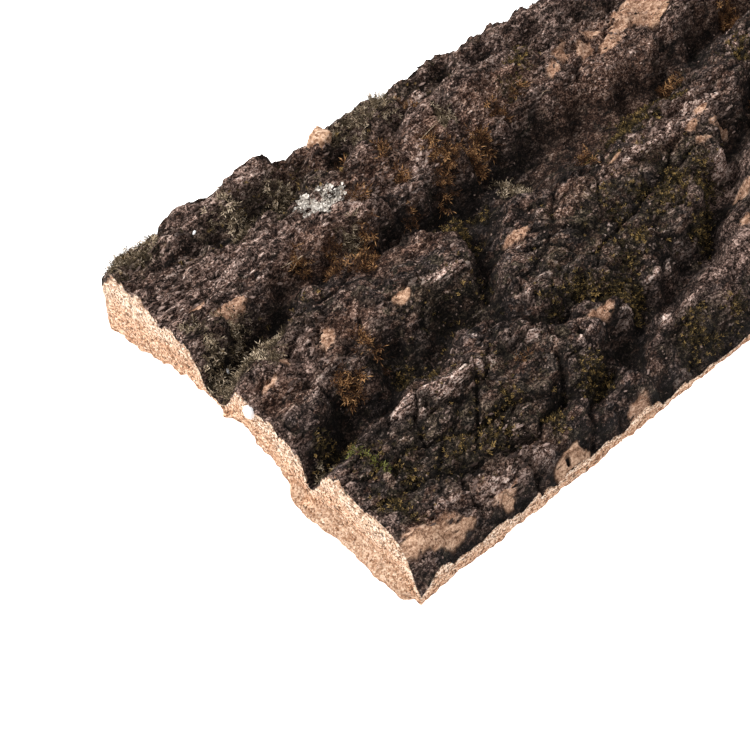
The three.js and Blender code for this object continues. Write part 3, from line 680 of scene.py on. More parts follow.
def edge_place(grid):
    """How far round a grid's edge each point of its loop is, counted in sides from 0 to 4."""
    long, wide = grid.shape[0] - 1, grid.shape[1] - 1
    return np.concatenate([side + np.arange(n) / n for side, n in enumerate([long, wide, long, wide])])


def quads(grid, is_up):
    corners = [grid[:-1, :-1], grid[1:, :-1], grid[1:, 1:], grid[:-1, 1:]]
    faces = np.stack([c.ravel() for c in corners], 1)
    return faces if is_up else faces[:, ::-1]


def zip_loops(outer, outer_place, inner, inner_place):
    """Triangles between two loops that run the same way, facing down when outer lies round inner."""
    faces = []
    i = j = 0
    outer_place = np.append(outer_place, 4.0)
    inner_place = np.append(inner_place, 4.0)
    while i < len(outer) or j < len(inner):
        a, b = outer[i % len(outer)], inner[j % len(inner)]
        take_outer = j == len(inner) or (i < len(outer) and outer_place[i + 1] <= inner_place[j + 1])
        if take_outer:
            i += 1
            faces.append((a, b, outer[i % len(outer)]))
        else:
            j += 1
            faces.append((a, b, inner[j % len(inner)]))
    return faces


def wall_points(edge, low):
    """Rows of points down the sawn sides, from the bark's edge to the belly's.

    Also gives how much each point of a row is on the lip.
    """
    ahead, behind = np.roll(edge, -1, 0), np.roll(edge, 1, 0)
    way = ahead[:, :2] - behind[:, :2]
    way /= np.linalg.norm(way, axis=1, keepdims=True)
    outward = np.column_stack([way[:, 1], -way[:, 0]])
    run = np.cumsum(np.linalg.norm((ahead - edge)[:, :2], axis=1))
    start, stop = LIP_RANGE
    along_lip = ease((edge[:, 1] - start) / LIP_FADE) * (1 - ease((edge[:, 1] - stop) / LIP_FADE + 1))
    is_end = edge[:, 0] < END_X + 0.1
    on_lip = is_end * along_lip

    def along(size, seed):
        return waves(run, run * 0, size, seed=seed)

    reach = LIP_REACH * on_lip * (0.85 + 0.15 * along(5, 201))
    fray = 0.2 + 0.55 * along(3.3, 241) + 0.45 * along(1.1, 245)
    fray = fray * (0.3 + 0.7 * is_end) * (1 - 0.75 * on_lip)
    crumb_y, half_long, crumb_reach = CRUMB
    crumb_shape = 1 - ease(np.abs(edge[:, 1] - crumb_y) / half_long)
    crumb = crumb_reach * is_end * crumb_shape * (0.8 + 0.4 * along(1.1, 271))
    crumble = 0.3 + 0.3 * along(1.7, 251)
    worn = np.abs(along(1.9, 261))
    rows = []
    for share in WALL_ROWS[1:]:
        z = edge[:, 2] * (1 - share) + low * share
        over = z - low
        rough = 0.24 * rough_waves(run, z, 2.4, seed=211, octaves=3) + 0.12 * waves(run, z, 0.8, seed=221)
        layer = 0.2 * waves(run / 9, z, 1.1, seed=231)
        torn = fray * eased(share, *FRAY_START) - crumb * eased(share, *CRUMB_START)
        lip = reach * (1 - ease((over - LIP_TOP[0]) / (LIP_TOP[1] - LIP_TOP[0])))
        out = rough + layer + lip - torn - crumble * ease(1 - share / 0.08)
        rows.append(np.column_stack([edge[:, :2] + outward * out[:, None], z + 0.5 * share**6 * worn]))
    return rows, on_lip


def make_object(name, points, faces):
    """A new object from points in millimetres."""
    mesh = bpy.data.meshes.new(name)
    mesh.from_pydata((np.asarray(points, float) * MM).tolist(), [], [list(map(int, f)) for f in faces])
    mesh.update()
    piece = bpy.data.objects.new(name, mesh)
    bpy.context.scene.collection.objects.link(piece)
    return piece


def store(mesh, name, values):
    """Keeps one number for each point of a mesh."""
    attribute = mesh.attributes.new(name, "FLOAT", "POINT")
    attribute.data.foreach_set("value", np.ascontiguousarray(values, np.float32))


def plan_grid(step):
    """Points of the slab's plan, about a step apart, as grids of x and of y."""
    long, wide = round((FAR_X - END_X) / step), round(2 * SIDE_Y / step)
    xs, ys = np.linspace(END_X, FAR_X, long + 1), np.linspace(-SIDE_Y, SIDE_Y, wide + 1)
    return np.meshgrid(xs, ys, indexing="ij")


def bark_face(solid):
    """Grid of points of the bark face, and its masks."""
    x, y = plan_grid(GRID)
    far, size = SAMPLE_WARP
    warp_x, warp_y = far * waves(x, y, size, seed=1), far * waves(x, y, size, seed=2)
    base = solid_heights(solid, x + warp_x, y + warp_y, True)
    height, masks = bark_surface(x, y, base)
    height = np.maximum(height, solid_heights(solid, x, y, False) + THINNEST)
    size, share = JITTER
    inner = np.zeros(x.shape)
    inner[1:-1, 1:-1] = share * GRID
    plan_x, plan_y = worn_plan(x, y)
    jitter_x, jitter_y = inner * waves(x, y, size, seed=301), inner * waves(x, y, size, seed=311)
    return np.stack([plan_x + jitter_x, plan_y + jitter_y, height], 2), masks


def belly_face(solid):
    """Grid of points of the belly."""
    x, y = plan_grid(BELLY_GRID)
    height = solid_heights(solid, x, y, False)
    width, stretch, depth = BELLY_PITS
    pits = np.clip(depth * rough_waves(x / stretch, y, width, seed=321), 0, 1)
    inset_x, inset_y = 1 - BELLY_INSET / FAR_X, 1 - BELLY_INSET / SIDE_Y
    x, y = worn_plan(x, y)
    return np.stack([x * inset_x, y * inset_y, height + pits], 2)


def bark_slab():
    """The slab as one closed mesh: bark face, sawn walls and belly. Also a way to ask where its bark is."""
    solid = solid_tree()
    top, masks = bark_face(solid)
    top_grid = np.arange(top[:, :, 0].size).reshape(top.shape[:2])
    top_points = top.reshape(-1, 3)
    edge = edge_loop(top_grid)
    edge_points = top_points[edge]
    low = solid_heights(solid, edge_points[:, 0], edge_points[:, 1], False)
    rows, on_lip = wall_points(edge_points, low)
    belly = belly_face(solid)
    belly_points = belly.reshape(-1, 3)

    on_top, on_wall, on_belly = len(top_points), len(rows) * len(edge), len(belly_points)
    row_numbers = [edge] + [on_top + r * len(edge) + np.arange(len(edge)) for r in range(len(rows))]
    belly_grid = np.arange(on_belly).reshape(belly.shape[:2]) + on_top + on_wall
    faces = quads(top_grid, True).tolist()
    for upper, lower in zip(row_numbers, row_numbers[1:]):
        corners = [upper, lower, np.roll(lower, -1), np.roll(upper, -1)]
        faces += np.stack(corners, 1).tolist()
    faces += zip_loops(row_numbers[-1], edge_place(top_grid), edge_loop(belly_grid), edge_place(belly_grid))
    faces += quads(belly_grid, False).tolist()
    slab = make_object("bark_slab", np.concatenate([top_points, *rows, belly_points]), faces)

    def keep(name, face, wall, under):
        """Keeps a mask of the bark face, the walls and the belly. A plain number is the same all over."""
        parts = zip((face, wall, under), (on_top, on_wall, on_belly))
        store(slab.data, name, np.concatenate([np.broadcast_to(value, count) for value, count in parts]))

    for name, mask in masks.items():
        keep(name, mask.ravel(), 0.0, 0.0)
    shares = np.repeat(WALL_ROWS[1:], len(edge))
    keep("down", 0.0, shares, 1.0)
    keep("skin", 0.0, np.tile(on_lip, len(rows)) * eased(shares, 0.55, 0.2), 1.0)
    keep("frayed", 0.0, (0.3 + 0.7 * eased(shares, 0.7, 0.15)) * (1 - eased(shares, 0.88, 0.1)), 0.0)
    slab.data.shade_smooth()
    slab.data.set_sharp_from_angle(angle=math.radians(SHARP_ANGLE))

    x, y = plan_grid(GRID)
    smooth = blur(top[:, :, 2], 1.2)

    def bark_at(px, py, over):
        """The place at a height over the bark."""
        i = int(np.clip(round((px - END_X) / (x[1, 0] - x[0, 0])), 0, x.shape[0] - 1))
        j = int(np.clip(round((py + SIDE_Y) / (y[0, 1] - y[0, 0])), 0, x.shape[1] - 1))
        return np.array([px, py, smooth[i, j] + over])

    return slab, bark_at


# Materials

class Finish:
    """One material and short ways to add its nodes. Sizes are in millimetres."""

    def __init__(self, name, roughness):
        self.material = bpy.data.materials.new(name)
        self.material.use_nodes = True
        self.tree = self.material.node_tree
        self.shader = self.tree.nodes["Principled BSDF"]
        self.shader.inputs["Roughness"].default_value = roughness
        self.shader.inputs["Specular IOR Level"].default_value = SPECULAR
        self.place = self.node("ShaderNodeTexCoord").outputs["Object"]

    def node(self, kind, **settings):
        made = self.tree.nodes.new(kind)
        for name, value in settings.items():
            setattr(made, name, value)
        return made

    def join(self, value, socket):
        if isinstance(value, bpy.types.NodeSocket):
            self.tree.links.new(value, socket)
        else:
            socket.default_value = value

    def mask(self, name):
        return self.node("ShaderNodeAttribute", attribute_name=name).outputs["Fac"]

    def math(self, operation, a, b=0.0):
        made = self.node("ShaderNodeMath", operation=operation)
        self.join(a, made.inputs[0])
        self.join(b, made.inputs[1])
        return made.outputs[0]

    def times(self, a, b):
        return self.math("MULTIPLY", a, b)

    def plus(self, a, b):
        return self.math("ADD", a, b)

    def less(self, a, b):
        return self.math("SUBTRACT", a, b)

    def scaled(self, size, stretch):
        mapping = self.node("ShaderNodeMapping")
        self.join(self.place, mapping.inputs["Vector"])
        mapping.inputs["Scale"].default_value = [1 / (size * MM * s) for s in stretch]
        return mapping.outputs["Vector"]

    def noise(self, size, detail=2.0, stretch=(1, 1, 1), roughness=0.6):
        made = self.node("ShaderNodeTexNoise")
        self.join(self.scaled(size, stretch), made.inputs["Vector"])
        made.inputs["Scale"].default_value = 1.0
        made.inputs["Detail"].default_value = detail
        made.inputs["Roughness"].default_value = roughness
        return made.outputs["Fac"]

    def grains(self, size, stretch=(1, 1, 1), warp=0.0):
        """Angular grains, each with its own number from 0 to 1. A warp makes their edges uneven."""
        place = self.scaled(size, stretch)
        sway = self.node("ShaderNodeTexNoise")
        self.join(place, sway.inputs["Vector"])
        sway.inputs["Scale"].default_value = 1.7
        bent = self.node("ShaderNodeVectorMath", operation="MULTIPLY_ADD")
        self.join(sway.outputs["Color"], bent.inputs[0])
        bent.inputs[1].default_value = (warp, warp, warp)
        self.join(place, bent.inputs[2])
        made = self.node("ShaderNodeTexVoronoi")
        self.join(bent.outputs["Vector"], made.inputs["Vector"])
        made.inputs["Scale"].default_value = 1.0
        split = self.node("ShaderNodeSeparateColor")
        self.join(made.outputs["Color"], split.inputs["Color"])
        return split.outputs["Red"]

    def chips(self):
        """Small chips of bark on larger ones, each with its own height from 0 to 1."""
        large, small = [self.grains(size, (stretch, 1, 1), CHIP_WARP) for size, stretch in CHIP_GRAINS]
        return self.plus(self.times(large, 0.5), self.times(small, 0.5))

    def flecks(self, size, chips=0.0):
        """Grains that differ strongly from one to the next, and chips.

        It is 0 to 1 with a half in the middle.
        """
        noise = self.less(self.noise(1.6 * size, 5, roughness=0.85), 0.5)
        grain = self.less(self.grains(size), 0.5)
        mixed = self.plus(self.times(grain, 0.85 - 0.4 * chips), self.times(noise, 1.5))
        if chips:
            mixed = self.plus(mixed, self.times(self.less(self.chips(), 0.5), chips))
        return self.plus(mixed, 0.5)

    def band(self, value, start, stop):
        """0 below start, 1 above stop, eased between."""
        made = self.node("ShaderNodeMapRange", interpolation_type="SMOOTHSTEP")
        self.join(value, made.inputs["Value"])
        made.inputs["From Min"].default_value = start
        made.inputs["From Max"].default_value = stop
        return made.outputs["Result"]

    def blotches(self, start, stop, *noise):
        """The places where a noise of some size, detail and stretch is over start, fully from stop."""
        return self.band(self.noise(*noise), start, stop)

    def patchy(self, mask, start, stop, *noise):
        """A mask that is broken up into blotches."""
        return self.times(self.mask(mask), self.blotches(start, stop, *noise))

    def ramp(self, value, stops):
        made = self.node("ShaderNodeValToRGB")
        band = made.color_ramp
        while len(band.elements) < len(stops):
            band.elements.new(0.5)
        for element, (at, colour) in zip(band.elements, stops):
            element.position = at
            element.color = (*colour, 1)
        self.join(value, made.inputs["Fac"])
        return made.outputs["Color"]

    def mix(self, share, a, b):
        made = self.node("ShaderNodeMix", data_type="RGBA")
        self.join(share, made.inputs["Factor"])
        self.join(a if isinstance(a, bpy.types.NodeSocket) else (*a, 1), made.inputs["A"])
        self.join(b if isinstance(b, bpy.types.NodeSocket) else (*b, 1), made.inputs["B"])
        return made.outputs["Result"]

    def bump(self, height, distance, before=None):
        made = self.node("ShaderNodeBump")
        made.inputs["Distance"].default_value = distance * MM
        self.join(height, made.inputs["Height"])
        if before:
            self.join(before, made.inputs["Normal"])
        return made.outputs["Normal"]

    def done(self, colour, normal=None):
        self.join(colour, self.shader.inputs["Base Color"])
        if normal:
            self.join(normal, self.shader.inputs["Normal"])
        return self.material


def bark_colour(f):
    """Dark granular bark: browner plates, pale crests that are partly wear and partly a painted highlight,
    pink chips, moss film, bare cork, and painted shade that darkens the hollows.
    """
    flecks = f.flecks(0.3, 0.8)
    woody = f.plus(f.times(f.noise(0.9, 5, (3, 1, 1), 0.75), 0.65), f.times(flecks, 0.35))
    tone = {name: f.ramp(flecks, stops) for name, stops in BARK_TONES.items()}
    tone |= {name: f.ramp(woody, stops) for name, stops in WOOD_TONES.items()}
    browner = f.plus(f.times(f.mask("grain"), 0.65), 0.3)
    colour = f.mix(f.times(f.blotches(0.42, 0.58, 6, 3), browner), tone["dark"], tone["brown"])
    hue = f.grains(1.4, (1.6, 1, 1), CHIP_WARP)
    colour = f.mix(f.times(f.band(hue, 0.74, 0.76), 0.6), colour, tone["red"])
    colour = f.mix(f.times(f.less(1.0, f.band(hue, 0.22, 0.24)), 0.6), colour, tone["green"])
    colour = f.mix(f.patchy("pale", 0.3, 0.6, 4, 3, (3, 1, 1)), colour, tone["pale"])
    # Paler tops of the raised streaks: partly their own paler colour, partly a painted highlight.
    colour = f.mix(f.patchy("streak", 0.4, 0.6, 5, 3, (2, 1, 1)), colour, tone["pale"])
    lines = f.times(f.blotches(0.5, 0.58, 0.8, 4, (9, 1.1, 1)), f.blotches(0.46, 0.56, 1.6, 4, (2, 1, 1)))
    colour = f.mix(f.times(lines, f.mask("grain")), colour, tone["pink"])
    # Painted shade: dark gaps between the streaks, drawn in the colour without geometry.
    gap_shade = f.math("MAXIMUM", f.blotches(0.56, 0.62, 1.0, 3, (12, 1.1, 1.3)), f.blotches(0.56, 0.63, 1.6, 5))
    colour = f.mix(f.times(f.times(gap_shade, f.mask("grain")), 0.85), colour, GAP_SHADE_BLACK)
    colour = f.mix(f.times(f.patchy("grain", 0.54, 0.62, 2.6, 4, (1.6, 1, 1)), 0.6), colour, tone["red"])
    colour = f.mix(f.patchy("red", 0.32, 0.46, 2.4, 4, (1.5, 1, 1)), colour, tone["red"])
    # Paler crests: partly wear, partly a painted highlight.
    colour = f.mix(f.times(f.patchy("crest", 0.46, 0.6, 2.2, 4), 0.5), colour, tone["pale"])
    colour = f.mix(f.times(f.mask("film"), 0.75), colour, tone["green"])
    glints = f.times(f.blotches(0.6, 0.66, 1.0, 3, (2.4, 1, 1)), f.blotches(0.42, 0.58, 7, 3))
    colour = f.mix(f.times(glints, 0.6), colour, tone["pink"])
    colour = f.mix(f.patchy("pink", 0.38, 0.52, 0.7, 3, (7, 1, 1)), colour, tone["pink"])
    colour = f.mix(f.patchy("tan", 0.3, 0.42, 1.2, 4, (3, 1, 1)), colour, tone["tan"])
    colour = f.mix(f.band(f.mask("cream"), 0.0, 0.5), colour, TORN_EDGE)
    torn = f.times(f.band(f.mask("cream"), 0.3, 0.8), f.blotches(0.3, 0.42, 1.0, 4, (3, 1, 1)))
    colour = f.mix(torn, colour, tone["cream"])
    # Painted shade: the valleys, walls, cracks, dips and holes are darkened towards black.
    return f.mix(f.times(f.mask("painted_hollow_shade"), 0.8), colour, PAINTED_SHADE_BLACK)


def sawn_colour(f):
    """Sawn cork: cream under the bark, peach lower down, dark dashes and specks, and a browner belly skin."""
    flecks = f.flecks(0.34)
    lower = f.plus(f.mask("down"), f.less(f.noise(6, 3, (2, 2, 1)), 0.5))
    colour = f.mix(f.band(lower, 0.15, 0.6), f.ramp(flecks, SAWN_CREAM), f.ramp(flecks, SAWN_PEACH))
    colour = f.mix(f.times(f.blotches(0.5, 0.68, 1.0, 3, (14, 14, 1.1)), 0.5), colour, SAWN_LAYER)
    colour = f.mix(f.times(f.blotches(0.6, 0.68, 0.6, 2, (4, 4, 1)), 0.8), colour, SAWN_DASH)
    colour = f.mix(f.times(f.blotches(0.6, 0.66, 1.3, 3, (1.4, 1.4, 1)), 0.8), colour, SAWN_SPECK)
    high = f.less(1.0, f.band(f.mask("down"), 0.02, 0.18))
    barky = f.times(high, f.blotches(0.52, 0.6, 1.4, 4, (1.6, 1.6, 1)))
    colour = f.mix(f.times(barky, 0.75), colour, SAWN_BARKY)
    worn = f.plus(f.times(f.noise(2.2, 5, (1, 2.5, 0.6)), 0.7), f.times(flecks, 0.3))
    return f.mix(f.times(f.mask("skin"), 0.7), colour, f.ramp(worn, BELLY_SKIN))


def bark_and_cork():
    """The slab's finish: bark on its face, sawn cork on its walls and belly, with a ragged border."""
    f = Finish("bark and sawn cork", 0.92)
    ragged = f.times(f.less(f.noise(2.2, 5), 0.55), 0.22)
    sawn = f.band(f.plus(f.mask("down"), f.math("MINIMUM", ragged, 0.0)), 0.0, 0.03)
    colour = f.mix(sawn, bark_colour(f), sawn_colour(f))
    covered = f.less(1.0, f.times(f.math("MAXIMUM", f.mask("cream"), f.mask("tan")), 0.75))
    coarse = f.bump(f.times(f.chips(), covered), 0.45)
    return f.done(colour, f.bump(f.times(f.noise(0.55, 5, (1.5, 1, 1), 0.75), covered), 0.28, coarse))


def tinted(name, roughness, tips, stops):
    """A finish whose colour differs from one small piece to the next, and from its foot to its tips."""
    f = Finish(name, roughness)
    shade = f.plus(f.mask("tint"), f.times(f.less(f.noise(0.5, 2), 0.5), 0.35))
    shade = f.plus(shade, f.times(f.less(f.mask("tip"), 0.4), tips))
    return f.done(f.ramp(shade, stops), f.bump(f.noise(0.3, 3), 0.05))


def mottled(name, roughness, stops):
    """A finish whose colour changes along one piece."""
    f = Finish(name, roughness)
    return f.done(f.ramp(f.flecks(0.7), stops), f.bump(f.noise(0.8, 4), 0.3))


# Small pieces and how they are set on the surface

def scatter_tree():
    """Node tree that sets copies of a small piece on a surface, as thickly as one of its masks says."""
    tree = bpy.data.node_groups.new("set on the bark", "GeometryNodeTree")
    sockets = [
        ("Surface", "NodeSocketGeometry"), ("Piece", "NodeSocketObject"), ("Mask", "NodeSocketString"),
        ("Density", "NodeSocketFloat"), ("Smallest", "NodeSocketFloat"), ("Largest", "NodeSocketFloat"),
        ("Lean", "NodeSocketFloat"), ("Turn", "NodeSocketFloat"), ("Seed", "NodeSocketInt"),
        ("Finish", "NodeSocketMaterial"),
    ]
    for name, kind in sockets:
        tree.interface.new_socket(name, in_out="INPUT", socket_type=kind)
    tree.interface.new_socket("Pieces", in_out="OUTPUT", socket_type="NodeSocketGeometry")

    def add(kind, links=None, **settings):
        made = tree.nodes.new(kind)
        for name, value in settings.items():
            setattr(made, name, value)
        for socket, source in (links or {}).items():
            tree.links.new(source, made.inputs[socket])
        return made

    given = add("NodeGroupInput").outputs
    mask = add("GeometryNodeInputNamedAttribute", {"Name": given["Mask"]})
    density = add("ShaderNodeMath", {0: mask.outputs["Attribute"], 1: given["Density"]}, operation="MULTIPLY")
    points = add("GeometryNodeDistributePointsOnFaces", {
        "Mesh": given["Surface"], "Density": density.outputs[0], "Seed": given["Seed"],
    })

    most = add("ShaderNodeCombineXYZ", {"X": given["Lean"], "Y": given["Lean"], "Z": given["Turn"]})
    least = add("ShaderNodeVectorMath", {0: most.outputs[0]}, operation="SCALE")
    least.inputs["Scale"].default_value = -1
    limits = {"Min": least.outputs[0], "Max": most.outputs[0], "Seed": given["Seed"]}
    turn = add("FunctionNodeRandomValue", limits, data_type="FLOAT_VECTOR")
    euler = add("FunctionNodeEulerToRotation", {0: turn.outputs["Value"]})
    upright = add("FunctionNodeAlignRotationToVector", {"Vector": points.outputs["Normal"]}, axis="Z")
    turns = {"Rotation": upright.outputs[0], "Rotate By": euler.outputs[0]}
    rotate = add("FunctionNodeRotateRotation", turns, rotation_space="LOCAL")

    size = add("FunctionNodeRandomValue", {2: given["Smallest"], 3: given["Largest"], "Seed": given["Seed"]})
    piece = add("GeometryNodeObjectInfo", {"Object": given["Piece"]})
    piece.inputs["As Instance"].default_value = True
    copies = add("GeometryNodeInstanceOnPoints", {
        "Points": points.outputs["Points"], "Instance": piece.outputs["Geometry"],
        "Rotation": rotate.outputs[0], "Scale": size.outputs[1],
    })
    tint = add("FunctionNodeRandomValue")
    tinted_copies = {"Geometry": copies.outputs[0], "Value": tint.outputs[1]}
    keep = add("GeometryNodeStoreNamedAttribute", tinted_copies, domain="INSTANCE")
    keep.inputs["Name"].default_value = "tint"
    real = add("GeometryNodeRealizeInstances", {0: keep.outputs[0]})
    finish = add("GeometryNodeSetMaterial", {"Geometry": real.outputs[0], "Material": given["Finish"]})
    add("NodeGroupOutput", {0: finish.outputs[0]})
    return tree


def scatter(tree, name, surface, finish, piece, mask, density, sizes, lean, turn, seed):
    """A plain mesh of many copies of piece on a surface.

    Density is per square millimetre where the mask is 1. Each copy leans from the surface and turns from the
    grain by up to so many degrees.
    """
    carrier = bpy.data.objects.new(name, surface.data.copy())
    bpy.context.scene.collection.objects.link(carrier)
    modifier = carrier.modifiers.new("set", "NODES")
    modifier.node_group = tree
    values = {
        "Piece": piece, "Mask": mask, "Density": density / MM**2, "Smallest": sizes[0], "Largest": sizes[1],
        "Lean": math.radians(lean), "Turn": math.radians(turn), "Seed": seed, "Finish": finish,
    }
    for item in tree.interface.items_tree:
        if item.name in values:
            modifier[item.identifier] = values[item.name]
    bpy.context.view_layer.update()
    found = carrier.evaluated_get(bpy.context.evaluated_depsgraph_get())
    made = bpy.data.meshes.new_from_object(found)
    carrier.modifiers.remove(modifier)
    carrier.data = made
    made.materials.clear()
    made.materials.append(finish)
    return carrier


def hidden(piece):
    """A pattern that is only copied."""
    bpy.context.scene.collection.objects.unlink(piece)
    return piece


def grit_pattern():
    """An angular, flattish grain, about one millimetre long."""
    rng = np.random.default_rng(3)
    points = np.array([(1, 0, 0), (-1, 0, 0), (0, 1, 0), (0, -1, 0), (0, 0, 1), (0, 0, -1)], float)
    points *= (0.6, 0.4, 0.28)
    points *= rng.uniform(0.65, 1.15, (6, 1))
    points += rng.uniform(-0.1, 0.1, (6, 3))
    faces = [(0, 2, 4), (2, 1, 4), (1, 3, 4), (3, 0, 4), (2, 0, 5), (1, 2, 5), (3, 1, 5), (0, 3, 5)]
    return hidden(make_object("grit pattern", points, faces))


def flake_pattern():
    """A thin angular flake, about two millimetres long with the grain."""
    rng = np.random.default_rng(11)
    outline = np.array([(1.25, 0.1), (0.3, 0.42), (-0.5, 0.2), (-1.1, 0.24), (-0.75, -0.3), (0.55, -0.25)])
    sides = len(outline)
    top = np.column_stack([0.9 * outline, 0.2 + rng.uniform(-0.14, 0.14, sides)])
    low = np.column_stack([outline, np.full(sides, -0.15)])
    after = [(k + 1) % sides for k in range(sides)]
    faces = [tuple(range(sides)), tuple(range(2 * sides - 1, sides - 1, -1))]
    faces += [(sides + k, sides + n, n, k) for k, n in enumerate(after)]
    return hidden(make_object("flake pattern", np.concatenate([top, low]), faces))


def sprig_pattern(name, height, leaves, leaf_length, leaf_width, curve, seed):
    """A moss shoot: a thin bent stem with pointed leaves all the way up."""
    rng = np.random.default_rng(seed)
    points, faces, tips = [], [], []

    def stem_at(t):
        return np.array([curve * t * t, 0.12 * curve * math.sin(3 * t), height * t])

    def add(corners, order, out_share):
        start = len(points)
        points.extend(corners)
        faces.extend([tuple(start + k for k in face) for face in order])
        tips.extend(out_share)

    half = 0.035 * height
    foot, shoulder = stem_at(0), stem_at(0.55)
    stem = [foot - (half, 0, 0), foot + (half, 0, 0), shoulder + (half * 0.7, 0, 0), stem_at(1)]
    add(stem, [(0, 1, 2), (0, 2, 3)], [0, 0, 0.3, 0.6])
    rise = np.array([0, 0, 1.0])
    for k in range(leaves):
        t = 0.12 + 0.88 * (k + 0.5) / leaves
        turn = 2.4 * k + rng.uniform(-0.4, 0.4)
        out = np.array([math.cos(turn), math.sin(turn), 0])
        side = np.array([-math.sin(turn), math.cos(turn), 0]) * leaf_width / 2
        length = leaf_length * rng.uniform(0.75, 1.2)
        root = stem_at(t)
        middle = root + out * length * 0.5 + rise * length * 0.35
        tip = root + out * length * 0.92 + rise * length * (0.5 + 0.45 * t)
        leaf = [root, middle - side, tip, middle + side + rise * leaf_width * 0.2]
        add(leaf, [(0, 1, 2), (0, 2, 3)], [0.1 * t, 0.3 + 0.3 * t, 0.6 + 0.4 * t, 0.3 + 0.3 * t])
    piece = hidden(make_object(name, points, faces))
    store(piece.data, "tip", tips)
    return piece


def lobe_pattern():
    """One curled lichen lobe, like a ruffled cup."""
    sides = 9
    points, faces = [(0, 0, 0.05)], []
    for ring, (radius, rise) in enumerate([(0.32, 0.12), (0.58, 0.42)]):
        for k in range(sides):
            a = 2 * math.pi * k / sides
            wave = 1 + 0.28 * math.sin(3 * a + 1.3 * ring) + 0.1 * math.sin(5 * a)
            lift = rise + 0.22 * ring * math.sin(4 * a + 0.6)
            points.append((radius * wave * math.cos(a), radius * wave * math.sin(a), lift))
    for k in range(sides):
        n = (k + 1) % sides
        faces += [(0, 1 + k, 1 + n), (1 + k, 1 + sides + k, 1 + sides + n, 1 + n)]
    return hidden(make_object("lichen lobe", points, faces))


def finished(piece, finish):
    """A smooth piece in its finish."""
    piece.data.shade_smooth()
    piece.data.materials.append(finish)
    return piece


def chunks(name, spots, roundness, bark_at, finish):
    """Lumpy broken bits, sunk a little into the bark. They are boxes at a roundness of 0, and balls at 1."""
    rows, sides = 9, 16
    points, faces = [], []
    up, round_it = np.linspace(-0.5, 0.5, rows) * math.pi, np.arange(sides) * 2 * math.pi / sides
    v, u = np.meshgrid(up, round_it, indexing="ij")
    ball = np.stack([np.cos(v) * np.cos(u), np.cos(v) * np.sin(u), np.sin(v)], 2)
    boxy = np.sign(ball) * np.abs(ball) ** roundness
    for k, (x, y, over, sizes, turn) in enumerate(spots):
        lumpy = 1 + 0.22 * rough_waves(u * 3 + 9 * k, v * 3, 2.2, seed=601, octaves=3) * np.cos(v)
        shape = boxy * lumpy[:, :, None] * np.array(sizes) / 2
        c, s = math.cos(math.radians(turn)), math.sin(math.radians(turn))
        along, across, rise = shape[:, :, 0], shape[:, :, 1], shape[:, :, 2]
        turned = np.stack([along * c - across * s, along * s + across * c, rise + 0.3 * sizes[2]], 2)
        grid = np.arange(rows * sides).reshape(rows, sides) + len(points)
        points += (turned.reshape(-1, 3) + bark_at(x, y, over)).tolist()
        ring = np.concatenate([grid, grid[:, :1]], 1)
        faces += quads(ring.T, True).tolist()
    return finished(make_object(name, points, faces), finish)


def fibres(name, lines, bark_at, finish):
    """Thin bent strands that lie on the bark."""
    sides, steps = 5, 14
    points, faces = [], []
    for line in lines:
        knots = np.array([bark_at(*spot) for spot in line])
        t = np.linspace(0, 1, steps)[:, None]
        path = knots[0] * (1 - t) ** 2 + 2 * knots[1] * t * (1 - t) + knots[2] * t**2
        way = np.gradient(path, axis=0)
        way /= np.linalg.norm(way, axis=1, keepdims=True)
        across = np.cross(way, (0, 0, 1))
        across /= np.linalg.norm(across, axis=1, keepdims=True)
        above = np.cross(across, way)
        angles = np.arange(sides) * 2 * math.pi / sides
        radius = FIBRE_RADIUS * np.sqrt(1.02 - (2 * t - 1) ** 4)
        tube = np.stack([path + radius * (across * math.cos(a) + above * math.sin(a)) for a in angles], 1)
        grid = np.arange(steps * sides).reshape(steps, sides) + len(points)
        points += tube.reshape(-1, 3).tolist()
        faces += quads(np.concatenate([grid, grid[:, :1]], 1), True).tolist()
        faces += [grid[0].tolist(), grid[-1, ::-1].tolist()]
    return finished(make_object(name, points, faces), finish)


# The stage

def aim(thing, target):
    direction = Vector(target) * MM - thing.location
    thing.rotation_euler = direction.to_track_quat("-Z", "Y").to_euler()


def spot_round(target, distance, elevation, heading):
    """The place at a distance from a target, up by an elevation, on a heading from +X towards +Y."""
    up, turn = math.radians(elevation), math.radians(heading)
    away = Vector((math.cos(up) * math.cos(turn), math.cos(up) * math.sin(turn), math.sin(up)))
    return (Vector(target) + away * distance) * MM


def camera():
    data = bpy.data.cameras.new("camera")
    data.lens = CAMERA_LENS
    data.clip_start = 0.01
    made = bpy.data.objects.new("camera", data)
    bpy.context.scene.collection.objects.link(made)
    made.location = spot_round(CAMERA_TARGET, CAMERA_DISTANCE, CAMERA_ELEVATION, CAMERA_HEADING + 180)
    aim(made, CAMERA_TARGET)
    bpy.context.scene.camera = made


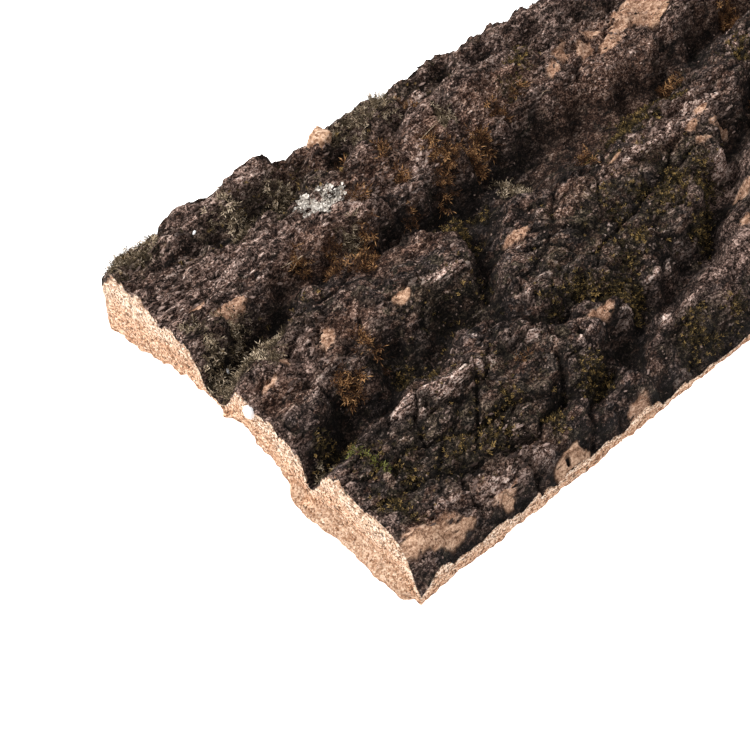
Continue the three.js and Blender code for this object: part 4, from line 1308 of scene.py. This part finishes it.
def soft_light(name, elevation, heading, size, power, colour):
    data = bpy.data.lights.new(name, "AREA")
    data.size = size
    data.energy = power
    data.color = colour
    made = bpy.data.objects.new(name, data)
    bpy.context.scene.collection.objects.link(made)
    made.location = spot_round(LIGHT_TARGET, LIGHT_DISTANCE, elevation, heading)
    aim(made, LIGHT_TARGET)


def stage():
    signs = [(-1, -1), (1, -1), (1, 1), (-1, 1)]
    corners = [(FLOOR_HALF * x, FLOOR_HALF * y, -FLOOR_UNDER) for x, y in signs]
    floor = make_object("floor", corners, [(0, 1, 2, 3)])
    white = bpy.data.materials.new("white sweep")
    white.use_nodes = True
    shader = white.node_tree.nodes["Principled BSDF"]
    shader.inputs["Base Color"].default_value = (FLOOR_WHITE, FLOOR_WHITE, FLOOR_WHITE, 1)
    shader.inputs["Roughness"].default_value = 0.8
    shader.inputs["Emission Color"].default_value = (1, 1, 1, 1)
    shader.inputs["Emission Strength"].default_value = 1.0
    floor.data.materials.append(white)
    world = bpy.data.worlds.new("studio")
    bpy.context.scene.world = world
    world.use_nodes = True
    sky = world.node_tree.nodes["Background"]
    sky.inputs["Color"].default_value = (1, 1, 1, 1)
    sky.inputs["Strength"].default_value = SKY_STRENGTH
    for light in LIGHTS:
        soft_light(*light)
    bpy.context.scene.view_settings.view_transform = "Standard"


# Putting it together

camera()
stage()
slab, bark_at = bark_slab()
slab.data.materials.append(bark_and_cork())
pieces = {slab: "bark"}

finishes = {name: tinted(name, *values) for name, values in TINTS.items()}
finishes |= {name: mottled(name, *values) for name, values in MOTTLES.items()}
patterns = {"grit": grit_pattern(), "flake": flake_pattern(), "lobe": lobe_pattern()}
patterns |= {name: sprig_pattern(name, *values) for name, values in SPRIGS.items()}

tree = scatter_tree()
for name, slot, finish, pattern, *how in SET_ON_BARK:
    pieces[scatter(tree, name, slab, finishes[finish], patterns[pattern], *how)] = slot
for name, slot, finish, spots, roundness in CHUNKS:
    pieces[chunks(name, spots, roundness, bark_at, finishes[finish])] = slot
pieces[fibres("fibres", FIBRES, bark_at, finishes["fibres"])] = "broken_cork"

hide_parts(NODE)
for piece, slot in pieces.items():
    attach(piece, "root")
